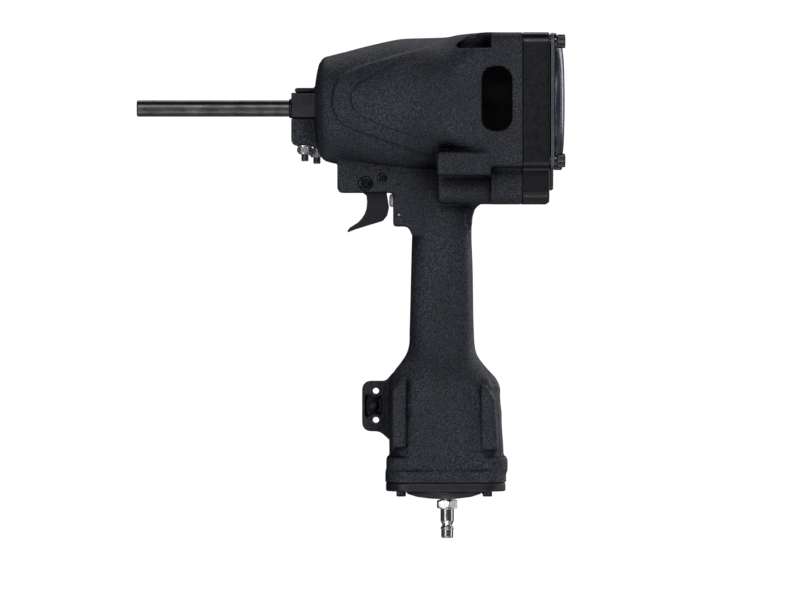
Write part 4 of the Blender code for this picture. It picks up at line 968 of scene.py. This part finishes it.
def make_end_cap():
    """The base cap: a flat plate with a shallow round boss that takes the air plug."""
    outline = box_outline(25.8, 112.8, -33.0, 33.0, 17.5)
    plate = slab("base_plate", outline, "Z", -149.2, -143.0, 1.2, 4)
    rows = [(0.0, -147.0), (27.7, -147.0), (27.7, -150.6), (26.7, -151.9), (20.0, -154.0)]
    rows += [(10.0, -155.3), (7.4, -155.3), (7.0, -154.9), (0.0, -154.9)]
    boss = turned("base_boss", softened(rows, 0.8), "Z", (68.2, 0.0), 128)
    cap = joined("base_end_cap", [plate, boss])
    finished(cap, "black_cap", "tool", ["end_cap"], SHEEN_LIT_BASE_FINISH, 40.0)


def make_end_screws():
    """Four M4 socket screws with knurled heads, one near each corner of the base cap."""
    top = -149.4
    rows = [(0.0, -128.0), (1.6, -128.0), (2.0, -128.4), (2.0, top), (3.3, top)]
    rows += [(3.5, top - 0.3, "knurl"), (3.5, top - 2.6, "knurl"), (3.3, top - 3.3)]
    rows += [(2.9, top - 3.5), (1.95, top - 3.5), (1.68, top - 3.2, "hex")]
    rows += [(1.68, top - 1.6, "hex"), (0.0, top - 1.4)]
    for number, place in enumerate(END_SCREW_PLACES, 1):
        screw = turned(f"base_screw_{number}", rows, "Z", place, 192)
        finished(screw, "black_fastener", stands_for=[f"end_cap_screw_{number}"])


def make_air_plug():
    """The quick-connect plug: a threaded foot, a 14 mm hexagon, and a grooved nipple."""
    corner = 14.0 / math.sqrt(3)
    top = -156.3
    low = -162.4
    rows = [(3.6, -146.0), (6.0, -146.0), (6.35, -147.0), (6.35, -155.7), (5.1, -155.7)]
    rows += [(5.1, top), (6.7, top), (7.2, top - 0.25, corner), (7.8, top - 0.75, corner)]
    rows += [(8.3, top - 1.2, corner), (8.3, low + 1.2, corner), (7.8, low + 0.75, corner)]
    rows += [(7.2, low + 0.25, corner), (6.7, low), (5.3, low), (4.9, -162.8), (4.9, -171.4)]
    rows += [(3.75, -174.0), (3.75, -175.2), (4.8, -176.2), (4.8, -177.2), (4.4, -177.7)]
    rows += [(4.4, -183.0), (3.8, -184.0), (3.0, -184.0), (2.6, -183.4), (2.6, -160.0)]
    rows.append((3.6, -158.0))
    rows = softened(rows, 0.3, True)
    turn = math.radians(8.0)
    plug = turned("quick_plug", rows, "Z", (PLUG_X, 0.0), 144, loop=True, turn=turn)
    finished(plug, "bright_plating", stands_for=["air_plug"], sharp_deg=28.0)


# ------------------------------------------------------------------ frame nodes that stay

def finish_carried_nodes():
    """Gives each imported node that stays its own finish, by the slot the record names."""
    slots = {part["node"]: part["material_slot"] for part in frame["record"]["subparts"]}
    for name, obj in NODES.items():
        obj.data.materials.clear()
        obj.data.materials.append(FINISH[slots[name]])


# ------------------------------------------------------------------ studio

def add_light(name, place, width, height, watts, aim=STUDIO_MIDDLE):
    """A soft rectangular light at a place in metres, turned to face its aim."""
    lamp = bpy.data.lights.new(name, "AREA")
    lamp.shape = "RECTANGLE"
    lamp.size = width
    lamp.size_y = height
    lamp.energy = watts
    lamp.color = LAMP_COLOUR
    obj = bpy.data.objects.new(name, lamp)
    bpy.context.scene.collection.objects.link(obj)
    obj.location = place
    obj.rotation_euler = (Vector(aim) - Vector(place)).to_track_quat("-Z", "Y").to_euler()


def make_floor():
    """A plain floor of white background paper well below the tool, which hangs clear of it.

    It glows just enough to be white where it is seen, so that it shows no edge or shadow. The
    paper is a little uneven in tone, in patches 60 mm across.
    """
    outline = box_outline(-FLOOR_REACH, FLOOR_REACH, -FLOOR_REACH, FLOOR_REACH)
    floor = piece("floor", [(x, y, FLOOR_Z) for x, y in outline], [(0, 1, 2, 3)])
    material, tree, place = new_material("white_paper_floor")
    fibre = node(tree, "TexNoise", {
        "Vector": place, "Scale": per_metre(60.0), "Detail": 2.0, "Roughness": 0.5})
    colour = node(tree, "ValToRGB", {"Fac": fibre}, stops=((0.3, "#e6e6e6"), (0.7, "#ececec")))
    seen = node(tree, "LightPath", output="Is Camera Ray")
    shader = node(tree, "BsdfPrincipled", {
        "Base Color": colour, "Roughness": 0.9, "IOR": 1.3,
        "Emission Color": linear("#ffffff"), "Emission Strength": seen})
    node(tree, "OutputMaterial", {"Surface": shader})
    floor.data.materials.append(material)


def make_studio():
    """A white backdrop that hardly lights the tool, and soft lights round it."""
    world = bpy.data.worlds.new("studio")
    bpy.context.scene.world = world
    world.use_nodes = True
    tree = world.node_tree
    tree.nodes.clear()
    seen = node(tree, "LightPath", output="Is Camera Ray")
    strength = node(tree, "MapRange", {
        "Value": seen, "From Min": 0.0, "From Max": 1.0, "To Min": AMBIENT, "To Max": BACKDROP})
    backdrop = node(tree, "Background", {"Color": linear("#ffffff"), "Strength": strength})
    node(tree, "OutputWorld", {"Surface": backdrop})
    # Place, width, height, watts
    add_light("high_front_softbox", (0.03, -2.01, 1.30), 0.8, 0.7, 11.0)
    add_light("left_front_softbox", (-1.28, -1.88, 0.23), 0.8, 1.0, 10.5)
    add_light("near_left_softbox", (-0.69, -2.89, 0.34), 0.5, 1.0, 4.0)
    add_light("right_front_softbox", (1.07, -1.67, 1.41), 0.8, 0.8, 4.7)
    add_light("low_front_strip", (0.03, -2.04, -0.79), 1.2, 0.4, 2.4)
    add_light("under_nose_strip", (-0.2, -0.75, -0.9), 1.2, 0.1, 2.6, (-0.08, 0.0, 0.13))
    add_light("right_softbox", (1.72, -0.06, 0.18), 0.7, 2.4, 7.5)
    add_light("right_back_softbox", (1.33, 1.09, 0.65), 0.6, 1.6, 11.0)
    add_light("top_back_softbox", (0.03, 0.89, 1.36), 1.5, 0.5, 6.5)
    bpy.context.scene.view_settings.view_transform = "Standard"


def make_camera():
    """A long lens square to the tool's side, level with its middle."""
    data = bpy.data.cameras.new("side_camera")
    data.sensor_width = SENSOR_WIDTH
    data.lens = SENSOR_WIDTH * CAMERA_AWAY / FIELD_WIDTH
    data.clip_end = 100.0
    camera = bpy.data.objects.new("side_camera", data)
    bpy.context.scene.collection.objects.link(camera)
    camera.location = (CAMERA_MIDDLE[0], -CAMERA_AWAY, CAMERA_MIDDLE[1])
    camera.rotation_euler = (math.pi / 2, 0.0, 0.0)
    bpy.context.scene.camera = camera


make_camera()
make_housing()
make_cap()
make_exhaust_parts()
make_cap_bolts()
make_badges()
make_nose()
make_nose_clamps()
make_trigger()
make_trigger_screws()
make_valve_parts()
make_end_cap()
make_end_screws()
make_air_plug()
finish_carried_nodes()
make_floor()
make_studio()
